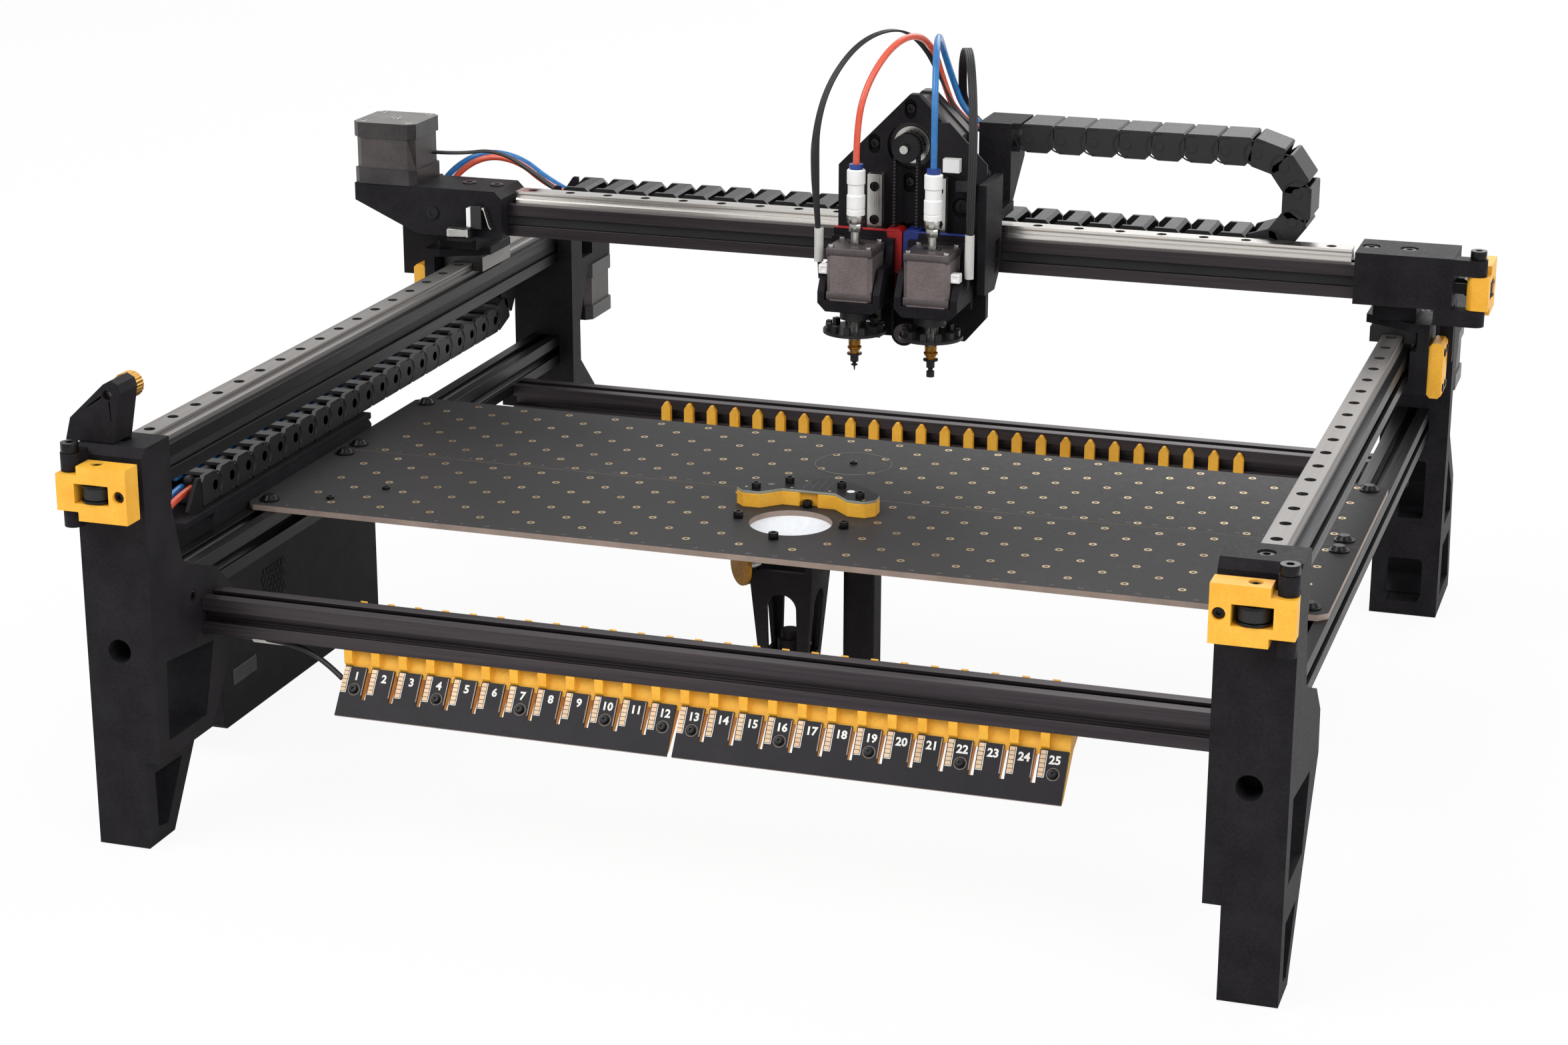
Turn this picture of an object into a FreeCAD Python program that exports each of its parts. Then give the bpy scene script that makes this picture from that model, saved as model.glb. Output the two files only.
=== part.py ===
import FreeCAD, Part
import math
import os

V = FreeCAD.Vector

# Working frame: X = 0 midway between the side rails, Z = 0 on the floor, the operator at -Y. Millimetres.
# The finished part stands with the middle of its footprint at the origin.

# Square slotted beams
BEAM = 20.0
SLOT_OPENING = 6.2
SLOT_LIP = 1.8
SLOT_CAVITY = 11.0
SLOT_CAVITY_DEPTH = 3.4
SLOT_FLOOR_DEPTH = 6.1
SLOT_FLOOR = 5.6

# Side beams, the leg faces that they run between, and their rails
SIDE_X = 293.8
LOWER_Z = 127.8
BEAM_SPACING = 71.5
UPPER_Z = LOWER_Z + BEAM_SPACING
LEG_FRONT_Y = -324.3
REAR_LEG_FRONT_Y = 261.6
UPPER_SOCKET_FRONT = 9.3
UPPER_SOCKET_REAR = 14.4
LOWER_SOCKET_FRONT = 20.3
LOWER_SOCKET_REAR = 6.4
UPPER_Y = (LEG_FRONT_Y + UPPER_SOCKET_FRONT, REAR_LEG_FRONT_Y + UPPER_SOCKET_REAR)
LOWER_Y = (LEG_FRONT_Y + LOWER_SOCKET_FRONT, REAR_LEG_FRONT_Y + LOWER_SOCKET_REAR)
RAIL_WIDTH = 12.0
RAIL_HEIGHT = 8.0
RAIL_GROOVE = 1.2
RAIL_FLANK_LOW = 2.6
RAIL_FLANK_SLOPE = 1.2
RAIL_SETBACK_FRONT = 31.8
RAIL_SETBACK_REAR = 4.1
Y_RAIL_Y = (LEG_FRONT_Y + RAIL_SETBACK_FRONT, REAR_LEG_FRONT_Y - RAIL_SETBACK_REAR)
RAIL_PITCH = 25.0
RAIL_BORE_R = 3.0
RAIL_BORE_DEPTH = 4.5
Y_RAIL_END = 12.5
X_RAIL_END = 9.4

# Cross beams
CROSS_DROP = 14.1
CROSS_Z = LOWER_Z - CROSS_DROP
FRONT_BEAM_SETBACK = 63.3
FRONT_BEAM_Y = LEG_FRONT_Y + FRONT_BEAM_SETBACK
REAR_BEAM_Y = 189.0
REAR_BEAM_X = SIDE_X - BEAM / 2
GUSSET_REACH = 16.0
GUSSET_THICK = 5.0

# Work plates
PLATE_OVERHANG = 9.7
PLATE_X = SIDE_X + PLATE_OVERHANG
PLATE_Z = LOWER_Z + BEAM / 2
PLATE_THICK = 3.2
PLATE_DEPTH = 117.8
PLATE_SEAM_Y = -44.5
PLATE_SEAM = 0.4
PLATE_FRONT_Y = (PLATE_SEAM_Y - PLATE_SEAM / 2 - PLATE_DEPTH, PLATE_SEAM_Y - PLATE_SEAM / 2)
PLATE_REAR_Y = (PLATE_SEAM_Y + PLATE_SEAM / 2, PLATE_SEAM_Y + PLATE_SEAM / 2 + PLATE_DEPTH)
PLATE_CORNER = 5.0
PLATE_BOLT_INSET = 10.0
PLATE_BOLT_END = 10.5
PLATE_BOLT_SEAM = 9.3
PLATE_BOLT_X = PLATE_X - PLATE_BOLT_INSET
PLATE_BOLT_Y = (
    PLATE_FRONT_Y[0] + PLATE_BOLT_END,
    PLATE_FRONT_Y[1] - PLATE_BOLT_SEAM,
    PLATE_REAR_Y[0] + PLATE_BOLT_SEAM,
    PLATE_REAR_Y[1] - PLATE_BOLT_END,
)
LIGHT_X = -1.5
LIGHT_Y = -99.7
LIGHT_R = 23.1
LIGHT_SCREW_RING_R = 30.5
DIFFUSER_R = 35.5
LIGHT_SCREW_R = 1.6

# Front legs
LEG_OUT = 18.8
LEG_IN = 19.5
LEG_OUT_X = SIDE_X + LEG_OUT
LEG_IN_X = SIDE_X - LEG_IN
FRONT_FOOT_IN_X = SIDE_X - BEAM / 2 - 0.5
LEG_RISE = 20.2
LEG_TOP_Z = UPPER_Z + LEG_RISE
FRONT_SEAM_Z = 48.8
CABLE_HOLE_R = 6.5
CABLE_HOLE_DROP = 18.3
CABLE_HOLE_Z = LOWER_Z - CABLE_HOLE_DROP
KNOB_X = 295.4
KNOB_RISE = 25.4
KNOB_R = 7.0

# Rear legs
REAR_LEG_IN = 20.0
REAR_LEG_OUT = 22.2
REAR_LEG_IN_X = SIDE_X - REAR_LEG_IN
REAR_LEG_OUT_X = SIDE_X + REAR_LEG_OUT
REAR_HEAD_LENGTH = 71.4
REAR_HEAD_BACK_Y = REAR_LEG_FRONT_Y + REAR_HEAD_LENGTH
REAR_HEAD_DROP = 18.8
REAR_HEAD_Z = UPPER_Z - REAR_HEAD_DROP

# Belts, pulleys and idlers
BELT_R = 6.9
BELT_THICK = 1.4
BELT_WIDTH = 6.0
BELT_GAP = 0.35
PULLEY_CORE_R = BELT_R - BELT_THICK / 2 - BELT_GAP
FLANGE_R = 8.5
FLANGE_THICK = 1.2
PULLEY_HUB = 6.0
SHAFT_R = 2.5
AXLE_R = 1.5
RUNNING = 0.05
CLEAR = 0.35
Y_IDLER_REACH = 10.4
Y_MOTOR_SETBACK = 52.4
Y_IDLER_Y = LEG_FRONT_Y - Y_IDLER_REACH
Y_MOTOR_Y = REAR_LEG_FRONT_Y + Y_MOTOR_SETBACK

# Motors
MOTOR = 42.3
MOTOR_CORNER = 4.2
MOTOR_LENGTH = 38.8
MOTOR_WAIST = 1.2
MOTOR_CAP = 9.5
PILOT_OPENING_R = 14.0
SMALL_MOTOR = 28.0
SMALL_MOTOR_CORNER = 2.6
SMALL_MOTOR_LENGTH = 32.0

# Hinged belt tensioners
TENSION_HALF = 14.45
TENSION_KNUCKLE_HALF = 9.7
TENSION_OUT = 7.3
TENSION_IN = 5.4
TENSION_LEFT = 19.7
TENSION_RIGHT = 20.0
TENSION_SHOULDER = 8.0
TENSION_HINGE = 15.0
TENSION_WINDOW_HALF = 5.2
TENSION_SCREW = 15.2
TENSION_SCREW_R = 2.0
HINGE_PIN_R = 2.5
HINGE_HEAD_R = 4.6
HINGE_HEAD = 5.2
KNUCKLE_R = 5.0
KNUCKLE_LENGTH = 9.4

# Gantry, which rides on the side rails
GANTRY_Y = 126.7
GANTRY_RISE = 50.0
GANTRY_Z = UPPER_Z + GANTRY_RISE
X_BEAM_PAST_LEFT = 12.2
X_BEAM_PAST_RIGHT = 18.2
X_BEAM_X = (-SIDE_X - X_BEAM_PAST_LEFT, SIDE_X + X_BEAM_PAST_RIGHT)
X_RAIL_SETBACK_LEFT = 39.8
X_RAIL_SETBACK_RIGHT = 25.8
X_RAIL_X = (-SIDE_X + X_RAIL_SETBACK_LEFT, SIDE_X - X_RAIL_SETBACK_RIGHT)
BLOCK_FRONT = 20.5
BLOCK_BACK = 18.3
BLOCK_Y = (GANTRY_Y - BLOCK_FRONT, GANTRY_Y + BLOCK_BACK)
BLOCK_HALF = 19.7
BLOCK_LOW = 10.5
BLOCK_TOP_Z = GANTRY_Z + BLOCK_HALF
BLOCK_LOW_Z = GANTRY_Z - BLOCK_LOW
X_MOTOR_REACH = 43.2
X_IDLER_REACH = 47.2
X_MOTOR_X = -SIDE_X - X_MOTOR_REACH
X_IDLER_X = SIDE_X + X_IDLER_REACH
CARRIAGE_SETBACK = 22.4
CARRIAGE_Y = GANTRY_Y + CARRIAGE_SETBACK
CARRIAGE_WIDTH = 27.0
CARRIAGE_LENGTH = 45.4
CARRIAGE_RISE = 13.0
ARM_GAP = 1.5
ARM_WIDTH = 10.5
CARRIAGE_LIFT = 3.0

# Drag chains
HEAD_X = 8.1
LINK_PITCH = 19.8
LINK_HEIGHT = 17.0
LINK_WIDTH = 33.0
LINK_WALL = 2.6
LINK_SKIN = 1.8
LINK_GAP = 0.5
CHAIN_R = 28.65
X_CHAIN_SETBACK = 30.3
X_CHAIN_Y = GANTRY_Y + X_CHAIN_SETBACK
X_CHAIN_RISE = 67.5
X_CHAIN_TOP_Z = GANTRY_Z + X_CHAIN_RISE
X_CHAIN_TOP_LINKS = 7
X_CHAIN_HEAD_REACH = 57.3
X_CHAIN_BEND_X = HEAD_X + X_CHAIN_HEAD_REACH + X_CHAIN_TOP_LINKS * LINK_PITCH
X_CHAIN_LEFT_ROOM = 62.0
X_CHAIN_LOW_LINKS = int((X_CHAIN_BEND_X + SIDE_X - X_CHAIN_LEFT_ROOM) / LINK_PITCH)
Y_CHAIN_OUT = 31.0
Y_CHAIN_X = -SIDE_X - Y_CHAIN_OUT
TRAY_THICK = 3.75
HOUSING_FLOOR_Z = 17.8
HOUSING_FRONT_Y = -199.3
HOUSING_TOP_Z = LOWER_Z + 18.2
Y_CHAIN_LOW_Z = HOUSING_TOP_Z + TRAY_THICK + CLEAR + LINK_HEIGHT / 2
Y_CHAIN_TOP_LINKS = 3
Y_CHAIN_SETBACK = 27.9
Y_CHAIN_BEND_Y = GANTRY_Y + Y_CHAIN_SETBACK + Y_CHAIN_TOP_LINKS * LINK_PITCH
Y_CHAIN_FRONT_ROOM = 2.7
Y_CHAIN_LOW_LINKS = int((Y_CHAIN_BEND_Y - HOUSING_FRONT_Y + Y_CHAIN_FRONT_ROOM) / LINK_PITCH)
BEND_LINKS = 5

# Head
HEAD_PLATE_THICK = 6.0
HEAD_PLATE_REACH = 27.7
HEAD_PLATE_Y = (GANTRY_Y - HEAD_PLATE_REACH, GANTRY_Y - HEAD_PLATE_REACH + HEAD_PLATE_THICK)
Z_MOTOR_RISE = 66.7
Z_IDLER_DROP = 45.5
Z_MOTOR_Z = GANTRY_Z + Z_MOTOR_RISE
Z_IDLER_Z = GANTRY_Z - Z_IDLER_DROP
Z_BELT_GAP = 5.8
Z_BELT_Y = HEAD_PLATE_Y[0] - Z_BELT_GAP
MOTOR_SCREW = 21.92
Z_RAIL_SPREAD = 19.6
Z_RAIL_WIDTH = 9.0
Z_RAIL_DEPTH = 6.5
Z_RAIL_LOW = 50.0
Z_RAIL_HIGH = 49.7
Z_RAIL_Z = (GANTRY_Z - Z_RAIL_LOW, GANTRY_Z + Z_RAIL_HIGH)
SLIDE_DROP = 0.3
SLIDE_Z = GANTRY_Z - SLIDE_DROP
SLIDE_LENGTH = 28.9
SLIDE_WIDTH = 20.0
MOUNT_WIDTH = 38.4
MOUNT_GAP = 13.5
MOUNT_BACK_Y = HEAD_PLATE_Y[0] - MOUNT_GAP
MOUNT_PLATE = 4.5
MOUNT_DROP = 26.0
MOUNT_HEIGHT = 40.0
MOUNT_Z = (SLIDE_Z - MOUNT_DROP, SLIDE_Z - MOUNT_DROP + MOUNT_HEIGHT)
MOUNT_FLOOR = 6.8
MOUNT_WALL = 4.3
GRIP_PLATE = 3.3
GRIP_REACH = 11.3
GRIP_DROP = 7.5
GRIP_HEIGHT = 26.9
GRIP_Z = (SLIDE_Z - GRIP_DROP, SLIDE_Z - GRIP_DROP + GRIP_HEIGHT)
NOZZLE_SPREAD = 23.5
NOZZLE_Y = MOUNT_BACK_Y - MOUNT_PLATE - SMALL_MOTOR / 2
DISC_R = 18.9
DISC_THICK = 1.8
DISC_DROP = 14.3
DISC_Z = MOUNT_Z[0] - DISC_DROP
TIP_TOP = 19.0
TIP_LENGTH = 19.0
TIP_Z = MOUNT_Z[0] - TIP_TOP
FITTING_LOW = 56.5
FITTING_HEIGHT = 30.2
FITTING_Z = MOUNT_Z[0] + FITTING_LOW
FITTING_TOP_Z = FITTING_Z + FITTING_HEIGHT

# Controller housing and chain tray
HOUSING_DEPTH = 48.2
HOUSING_LENGTH = 204.3
HOUSING_BEVEL = 3.0
TRAY_DEPTH = 40.2
TRAY_NOSE = 31.7

# Cords
TUBE_R = 2.0
CABLE_R = 2.2
BUNDLE_R = 3.0

# Feeder slots
FEEDER_COUNT = 25
FEEDER_PITCH = 15.6
FEEDER_FIRST_X = -192.0
POST_WIDTH = 4.7
SLOT_WIDTH = 2.6
BOARD_TOP = (FRONT_BEAM_Y - 9.8, CROSS_Z - 18.7)
BOARD_BOTTOM = (FRONT_BEAM_Y - 25.7, CROSS_Z - 40.7)
BOARD_THICK = 1.6
BOARD_STANDOFF = 1.2
BOARD_SLOT_SHARE = 0.64
PRONG_FIRST_X = -175.2
PRONG_WIDTH = 6.0
PRONG_THICK = 4.0
PRONG_TIP_Z = CROSS_Z + 8.8
PRONG_BAR = 5.7
STRIP_LENGTH = 389.0
PIN_TOP_Z = CROSS_Z + BEAM / 2 + 0.3
PIN_WIDTH = 4.0


def box(x, y, z):
    """Box between pairs of limits."""
    return Part.makeBox(x[1] - x[0], y[1] - y[0], z[1] - z[0], V(x[0], y[0], z[0]))


def rod(radius, start, direction, length):
    """Round rod from a start point."""
    return Part.makeCylinder(radius, length, V(*start), V(*direction))


def place(axis, u, v, w):
    """Point from two profile values and the value along the extrusion axis."""
    if axis == "x":
        return V(w, u, v)
    if axis == "y":
        return V(u, w, v)
    return V(u, v, w)


def prism(points, axis, span):
    """Straight-sided outline pushed along an axis."""
    corners = [place(axis, u, v, span[0]) for u, v in points]
    face = Part.Face(Part.makePolygon(corners + corners[:1]))
    return face.extrude(place(axis, 0, 0, span[1] - span[0]))


def rounded_box(x, y, z, radius, axis):
    """Box with the four edges along one axis rounded."""
    solid = box(x, y, z)
    along = place(axis, 0, 0, 1)
    edges = [e for e in solid.Edges if abs(e.tangentAt(e.FirstParameter).dot(along)) > 0.999]
    return solid.makeFillet(radius, edges)


def bevelled_box(x, y, z, size, axis):
    """Box with the four edges along one axis chamfered."""
    solid = box(x, y, z)
    along = place(axis, 0, 0, 1)
    edges = [e for e in solid.Edges if abs(e.tangentAt(e.FirstParameter).dot(along)) > 0.999]
    return solid.makeChamfer(size, edges)


def across(shape):
    """The same shape on the other side of X = 0."""
    return shape.mirror(V(0, 0, 0), V(1, 0, 0))


def moved(shape, x=0.0, y=0.0, z=0.0):
    """Copy moved by an offset."""
    copy = shape.copy()
    copy.translate(V(x, y, z))
    return copy


def both(shape):
    """The shape and its mirror image as one group."""
    return Part.makeCompound([shape, across(shape)])


def slot_outline():
    """Corner points of the slotted beam section, centred."""
    half = BEAM / 2
    opening = SLOT_OPENING / 2
    cavity = SLOT_CAVITY / 2
    floor = SLOT_FLOOR / 2
    side = [
        (half, -half),
        (half, -opening),
        (half - SLOT_LIP, -opening),
        (half - SLOT_LIP, -cavity),
        (half - SLOT_CAVITY_DEPTH, -cavity),
        (half - SLOT_FLOOR_DEPTH, -floor),
        (half - SLOT_FLOOR_DEPTH, floor),
        (half - SLOT_CAVITY_DEPTH, cavity),
        (half - SLOT_LIP, cavity),
        (half - SLOT_LIP, opening),
        (half, opening),
    ]
    points = []
    for turn in range(4):
        angle = math.radians(90 * turn)
        c, s = round(math.cos(angle)), round(math.sin(angle))
        points += [(u * c - v * s, u * s + v * c) for u, v in side]
    return points


def beam(axis, u, v, span):
    """Slotted beam along an axis with its centre at u, v."""
    return prism([(u + a, v + b) for a, b in slot_outline()], axis, span)


def beam_room(axis, u, v, span):
    """Plain square room that a slotted beam fills."""
    half = BEAM / 2
    corners = [(-half, -half), (half, -half), (half, half), (-half, half)]
    return prism([(u + a, v + b) for a, b in corners], axis, span)


def rail(axis, u, base, span, end):
    """Profile rail with grooved flanks and counterbored holes, the first one an end distance in."""
    half = RAIL_WIDTH / 2
    low = base + RAIL_FLANK_LOW
    high = base + RAIL_HEIGHT - 1.4
    points = [
        (u - half, base),
        (u + half, base),
        (u + half, low),
        (u + half - RAIL_GROOVE, low + RAIL_FLANK_SLOPE),
        (u + half - RAIL_GROOVE, high - RAIL_FLANK_SLOPE),
        (u + half, high),
        (u + half, base + RAIL_HEIGHT),
        (u - half, base + RAIL_HEIGHT),
        (u - half, high),
        (u - half + RAIL_GROOVE, high - RAIL_FLANK_SLOPE),
        (u - half + RAIL_GROOVE, low + RAIL_FLANK_SLOPE),
        (u - half, low),
    ]
    bar = prism(points, axis, span)
    floor = base + RAIL_HEIGHT - RAIL_BORE_DEPTH
    first = span[0] + end
    count = int((span[1] - RAIL_BORE_R - first) // RAIL_PITCH) + 1
    holes = [first + RAIL_PITCH * i for i in range(count)]
    bores = []
    for w in holes:
        start = (w, u, floor) if axis == "x" else (u, w, floor)
        bores.append(rod(RAIL_BORE_R, start, (0, 0, 1), RAIL_BORE_DEPTH + 1))
    return bar.cut(Part.makeCompound(bores))


def y_beams():
    """Upper and lower beams of both sides."""
    upper = beam("y", SIDE_X, UPPER_Z, UPPER_Y)
    lower = beam("y", SIDE_X, LOWER_Z, LOWER_Y)
    return Part.makeCompound([upper, lower, across(upper), across(lower)])


def cross_beams():
    """Front and rear beams between the sides."""
    front = beam("x", FRONT_BEAM_Y, CROSS_Z, (-LEG_IN_X, LEG_IN_X))
    rear = beam("x", REAR_BEAM_Y, CROSS_Z, (-REAR_BEAM_X, REAR_BEAM_X))
    return Part.makeCompound([front, rear])


def y_rails():
    """Profile rails on top of the upper beams."""
    return both(rail("y", SIDE_X, UPPER_Z + BEAM / 2, Y_RAIL_Y, Y_RAIL_END))


def belt_way(y):
    """Window that lets both belt strands pass through a leg."""
    reach = BELT_R + 2.4
    return box((SIDE_X - reach, SIDE_X + reach), y, (UPPER_Z - 5.5, UPPER_Z + 5.5))


def front_leg():
    """Printed front leg with beam sockets, side windows and hinge knuckles."""
    front = LEG_FRONT_Y
    body = prism(
        [
            (front, FRONT_SEAM_Z),
            (front, LEG_TOP_Z - 4.5),
            (front + 4.5, LEG_TOP_Z),
            (front + 29.3, LEG_TOP_Z),
            (front + 29.3, UPPER_Z - 10.3),
            (front + 27.3, UPPER_Z - 15.3),
            (front + 35.4, LOWER_Z + 23.2),
            (front + 42.3, LOWER_Z + 18.2),
            (front + 71.8, LOWER_Z + 7.7),
            (front + 88.8, LOWER_Z - 9.0),
            (front + 90.9, LOWER_Z - 32.4),
            (front + 58.1, FRONT_SEAM_Z),
        ],
        "x",
        (LEG_IN_X, LEG_OUT_X),
    )
    foot = prism(
        [
            (front, 0),
            (front, FRONT_SEAM_Z + 0.5),
            (front + 58.1, FRONT_SEAM_Z + 0.5),
            (front + 57.3, FRONT_SEAM_Z - 1.0),
            (front + 27.1, 0),
        ],
        "x",
        (FRONT_FOOT_IN_X, LEG_OUT_X),
    )
    leg = body.fuse(foot)
    through = (LEG_IN_X - 5, LEG_OUT_X + 5)
    seam = FRONT_SEAM_Z
    foot_outline = [(9.9, seam - 9.5), (39.3, seam - 10.3), (20.6, 6.7), (10.6, 8.8)]
    side_outline = [(13.3, LOWER_Z - 26.3), (64.3, LOWER_Z - 31.8), (52.3, seam + 9.0), (11.3, seam + 9.5)]
    foot_window = prism([(front + y, z) for y, z in foot_outline], "x", through)
    side_window = prism([(front + y, z) for y, z in side_outline], "x", through)
    cable_hole = rod(CABLE_HOLE_R, (SIDE_X, front - 1, CABLE_HOLE_Z), (0, 1, 0), 20)
    socket_upper = beam_room("y", SIDE_X, UPPER_Z, (UPPER_Y[0], 0))
    socket_lower = beam_room("y", SIDE_X, LOWER_Z, (LOWER_Y[0], 0))
    top_bore = rod(4.5, (SIDE_X, front + 16.3, LEG_TOP_Z - 4), (0, 0, 1), 5)
    side_bore = rod(3.4, (LEG_IN_X - 1, front + 45.2, LOWER_Z - 0.2), (1, 0, 0), 3.5)
    leg = leg.cut(
        Part.makeCompound([foot_window, side_window, cable_hole, socket_upper, socket_lower])
    )
    leg = leg.cut(Part.makeCompound([top_bore, side_bore, belt_way((LEG_FRONT_Y - 1, UPPER_Y[0] + 1))]))
    leg = leg.removeSplitter()
    above = UPPER_Z + TENSION_KNUCKLE_HALF + CLEAR
    below = UPPER_Z - TENSION_KNUCKLE_HALF - CLEAR - KNUCKLE_LENGTH
    return Part.makeCompound([leg, leg_knuckle(above).cut(leg), leg_knuckle(below).cut(leg)])


def leg_knuckle(low):
    """Hinge knuckle seated on the front face of a front leg, from a lower end upwards."""
    hinge_x = SIDE_X + TENSION_HINGE
    span = (low, low + KNUCKLE_LENGTH)
    knuckle = rod(KNUCKLE_R, (hinge_x, Y_IDLER_Y, low), (0, 0, 1), KNUCKLE_LENGTH)
    web = box((hinge_x - KNUCKLE_R + 0.5, hinge_x + KNUCKLE_R - 1.0), (Y_IDLER_Y, LEG_FRONT_Y), span)
    bore = rod(HINGE_PIN_R, (hinge_x, Y_IDLER_Y, UPPER_Z - 30), (0, 0, 1), 60)
    return knuckle.fuse(web).cut(bore).removeSplitter()


def rear_leg():
    """Printed rear leg with a head that carries the belt motor."""
    front = REAR_LEG_FRONT_Y
    span = (REAR_LEG_IN_X, REAR_LEG_OUT_X)
    body = prism(
        [
            (REAR_LEG_FRONT_Y, 0),
            (REAR_LEG_FRONT_Y, LEG_TOP_Z),
            (REAR_HEAD_BACK_Y, LEG_TOP_Z),
            (REAR_HEAD_BACK_Y, REAR_HEAD_Z),
            (front + 30.4, REAR_HEAD_Z),
            (front + 14.0, LOWER_Z + 17.2),
            (front + 14.4, LOWER_Z - 9.8),
            (front + 54.4, 80.0),
            (front + 58.4, 62.0),
            (front + 69.4, 9.0),
            (front + 69.4, 0),
        ],
        "x",
        span,
    )
    through = (REAR_LEG_IN_X - 1, REAR_LEG_OUT_X + 1)
    foot_outline = [(15.4, 10.0), (59.4, 10.0), (51.4, 44.0), (15.4, 44.0)]
    upper_outline = [(15.4, 58.0), (49.4, 58.0), (44.4, 77.0), (15.4, 102.0)]
    foot_side = prism([(front + y, z) for y, z in foot_outline], "x", through)
    upper_side = prism([(front + y, z) for y, z in upper_outline], "x", through)
    mouth = (front - 1, front + 16.4)
    foot_front = rounded_box((SIDE_X - 11.4, SIDE_X + 11.8), mouth, (9, 38), 3, "y")
    upper_front = rounded_box((SIDE_X - 6.8, SIDE_X + 10.2), mouth, (65, 103), 2, "y")
    socket_upper = beam_room("y", SIDE_X, UPPER_Z, (0, UPPER_Y[1]))
    socket_lower = beam_room("y", SIDE_X, LOWER_Z, (0, LOWER_Y[1]))
    pulley_room = box(
        (SIDE_X - 10.5, SIDE_X + 10.5),
        (Y_MOTOR_Y - 12, REAR_HEAD_BACK_Y + 1),
        (REAR_HEAD_Z + 3.5, UPPER_Z + 8),
    )
    shaft_room = rod(11.2, (SIDE_X, Y_MOTOR_Y, REAR_HEAD_Z - 1), (0, 0, 1), 6)
    access_z = (UPPER_Z - 11.3, UPPER_Z + 6.7)
    access = box((REAR_LEG_IN_X - 1, SIDE_X - 10), (front + 19.4, front + 38.4), access_z)
    leg = body.cut(
        Part.makeCompound([foot_side, upper_side, foot_front, upper_front, socket_upper, socket_lower])
    )
    leg = leg.cut(Part.makeCompound([pulley_room, access, belt_way((UPPER_Y[1] - 1, Y_MOTOR_Y))]))
    return leg.cut(shaft_room).removeSplitter()


def pulley(center, axis, hub_side):
    """Toothed pulley with two flanges and a hub on one side, without its shaft bore."""
    half = BELT_WIDTH / 2 + BELT_GAP
    x, y, z = center
    a = V(*axis)
    base = V(x, y, z) - a * (half + FLANGE_THICK)
    core = Part.makeCylinder(PULLEY_CORE_R, 2 * half + 2 * FLANGE_THICK, base, a)
    low = Part.makeCylinder(FLANGE_R, FLANGE_THICK, base, a)
    high = Part.makeCylinder(FLANGE_R, FLANGE_THICK, V(x, y, z) + a * half, a)
    pieces = [low, high]
    if hub_side:
        start = V(x, y, z) + a * (half + FLANGE_THICK)
        if hub_side < 0:
            start = base - a * PULLEY_HUB
        pieces.append(Part.makeCylinder(FLANGE_R - 0.5, PULLEY_HUB, start, a))
    return core.fuse(pieces)


def belt(first, second, axis, width_center):
    """Closed belt around two equal pulleys lying in the plane across an axis."""
    loops = []
    for radius in (BELT_R + BELT_THICK / 2, BELT_R - BELT_THICK / 2):
        (u0, v0), (u1, v1) = first, second
        length = math.hypot(u1 - u0, v1 - v0)
        du, dv = (u1 - u0) / length, (v1 - v0) / length
        nu, nv = -dv * radius, du * radius
        w = width_center - BELT_WIDTH / 2
        a = place(axis, u0 + nu, v0 + nv, w)
        b = place(axis, u1 + nu, v1 + nv, w)
        far = place(axis, u1 + du * radius, v1 + dv * radius, w)
        c = place(axis, u1 - nu, v1 - nv, w)
        d = place(axis, u0 - nu, v0 - nv, w)
        near = place(axis, u0 - du * radius, v0 - dv * radius, w)
        wire = Part.Wire(
            [
                Part.makeLine(a, b),
                Part.Arc(b, far, c).toShape(),
                Part.makeLine(c, d),
                Part.Arc(d, near, a).toShape(),
            ]
        )
        loops.append(Part.Face(wire).extrude(place(axis, 0, 0, BELT_WIDTH)))
    return loops[0].cut(loops[1])


def y_belts():
    """Belts of both sides, each inside the side slots of its upper beam."""
    return both(belt((SIDE_X, Y_IDLER_Y), (SIDE_X, Y_MOTOR_Y), "z", UPPER_Z))


def square_motor(center, axis, size, corner, length, shaft, waist):
    """Stepper motor standing from its mounting face against the shaft's direction."""
    half = size / 2
    body = bevelled_box((-half, half), (-half, half), (-length, 0), corner, "z")
    if waist:
        inner = half - MOTOR_WAIST
        band = box((-half - 1, half + 1), (-half - 1, half + 1), (-length + MOTOR_CAP, -MOTOR_CAP))
        core = bevelled_box((-inner, inner), (-inner, inner), (-length, 0), corner, "z")
        body = body.cut(band.cut(core))
    body = body.fuse(Part.makeCylinder(half * 0.52, 2.0, V(0, 0, 0)))
    if shaft:
        body = body.fuse(Part.makeCylinder(SHAFT_R, shaft, V(0, 0, 0)))
    body.Placement = FreeCAD.Placement(V(*center), FreeCAD.Rotation(V(0, 0, 1), V(*axis)))
    return body


def y_motors():
    """Belt motors under the heads of the rear legs, shafts up."""
    shaft = UPPER_Z + 5.0 - REAR_HEAD_Z
    seat = (SIDE_X, Y_MOTOR_Y, REAR_HEAD_Z)
    motor = square_motor(seat, (0, 0, 1), MOTOR, MOTOR_CORNER, MOTOR_LENGTH, shaft, True)
    return both(motor)


def y_pulley():
    """Drive pulley on the right belt motor's shaft."""
    wheel = pulley((SIDE_X, Y_MOTOR_Y, UPPER_Z), (0, 0, 1), -1)
    return wheel.cut(rod(SHAFT_R + RUNNING, (SIDE_X, Y_MOTOR_Y, UPPER_Z - 30), (0, 0, 1), 60))


def idler(center, axis):
    """Idler wheel that runs on its axle."""
    wheel = pulley(center, axis, 0)
    a = V(*axis)
    start = V(*center) - a * 20
    return wheel.cut(Part.makeCylinder(AXLE_R + RUNNING, 40, start, a))


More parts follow.
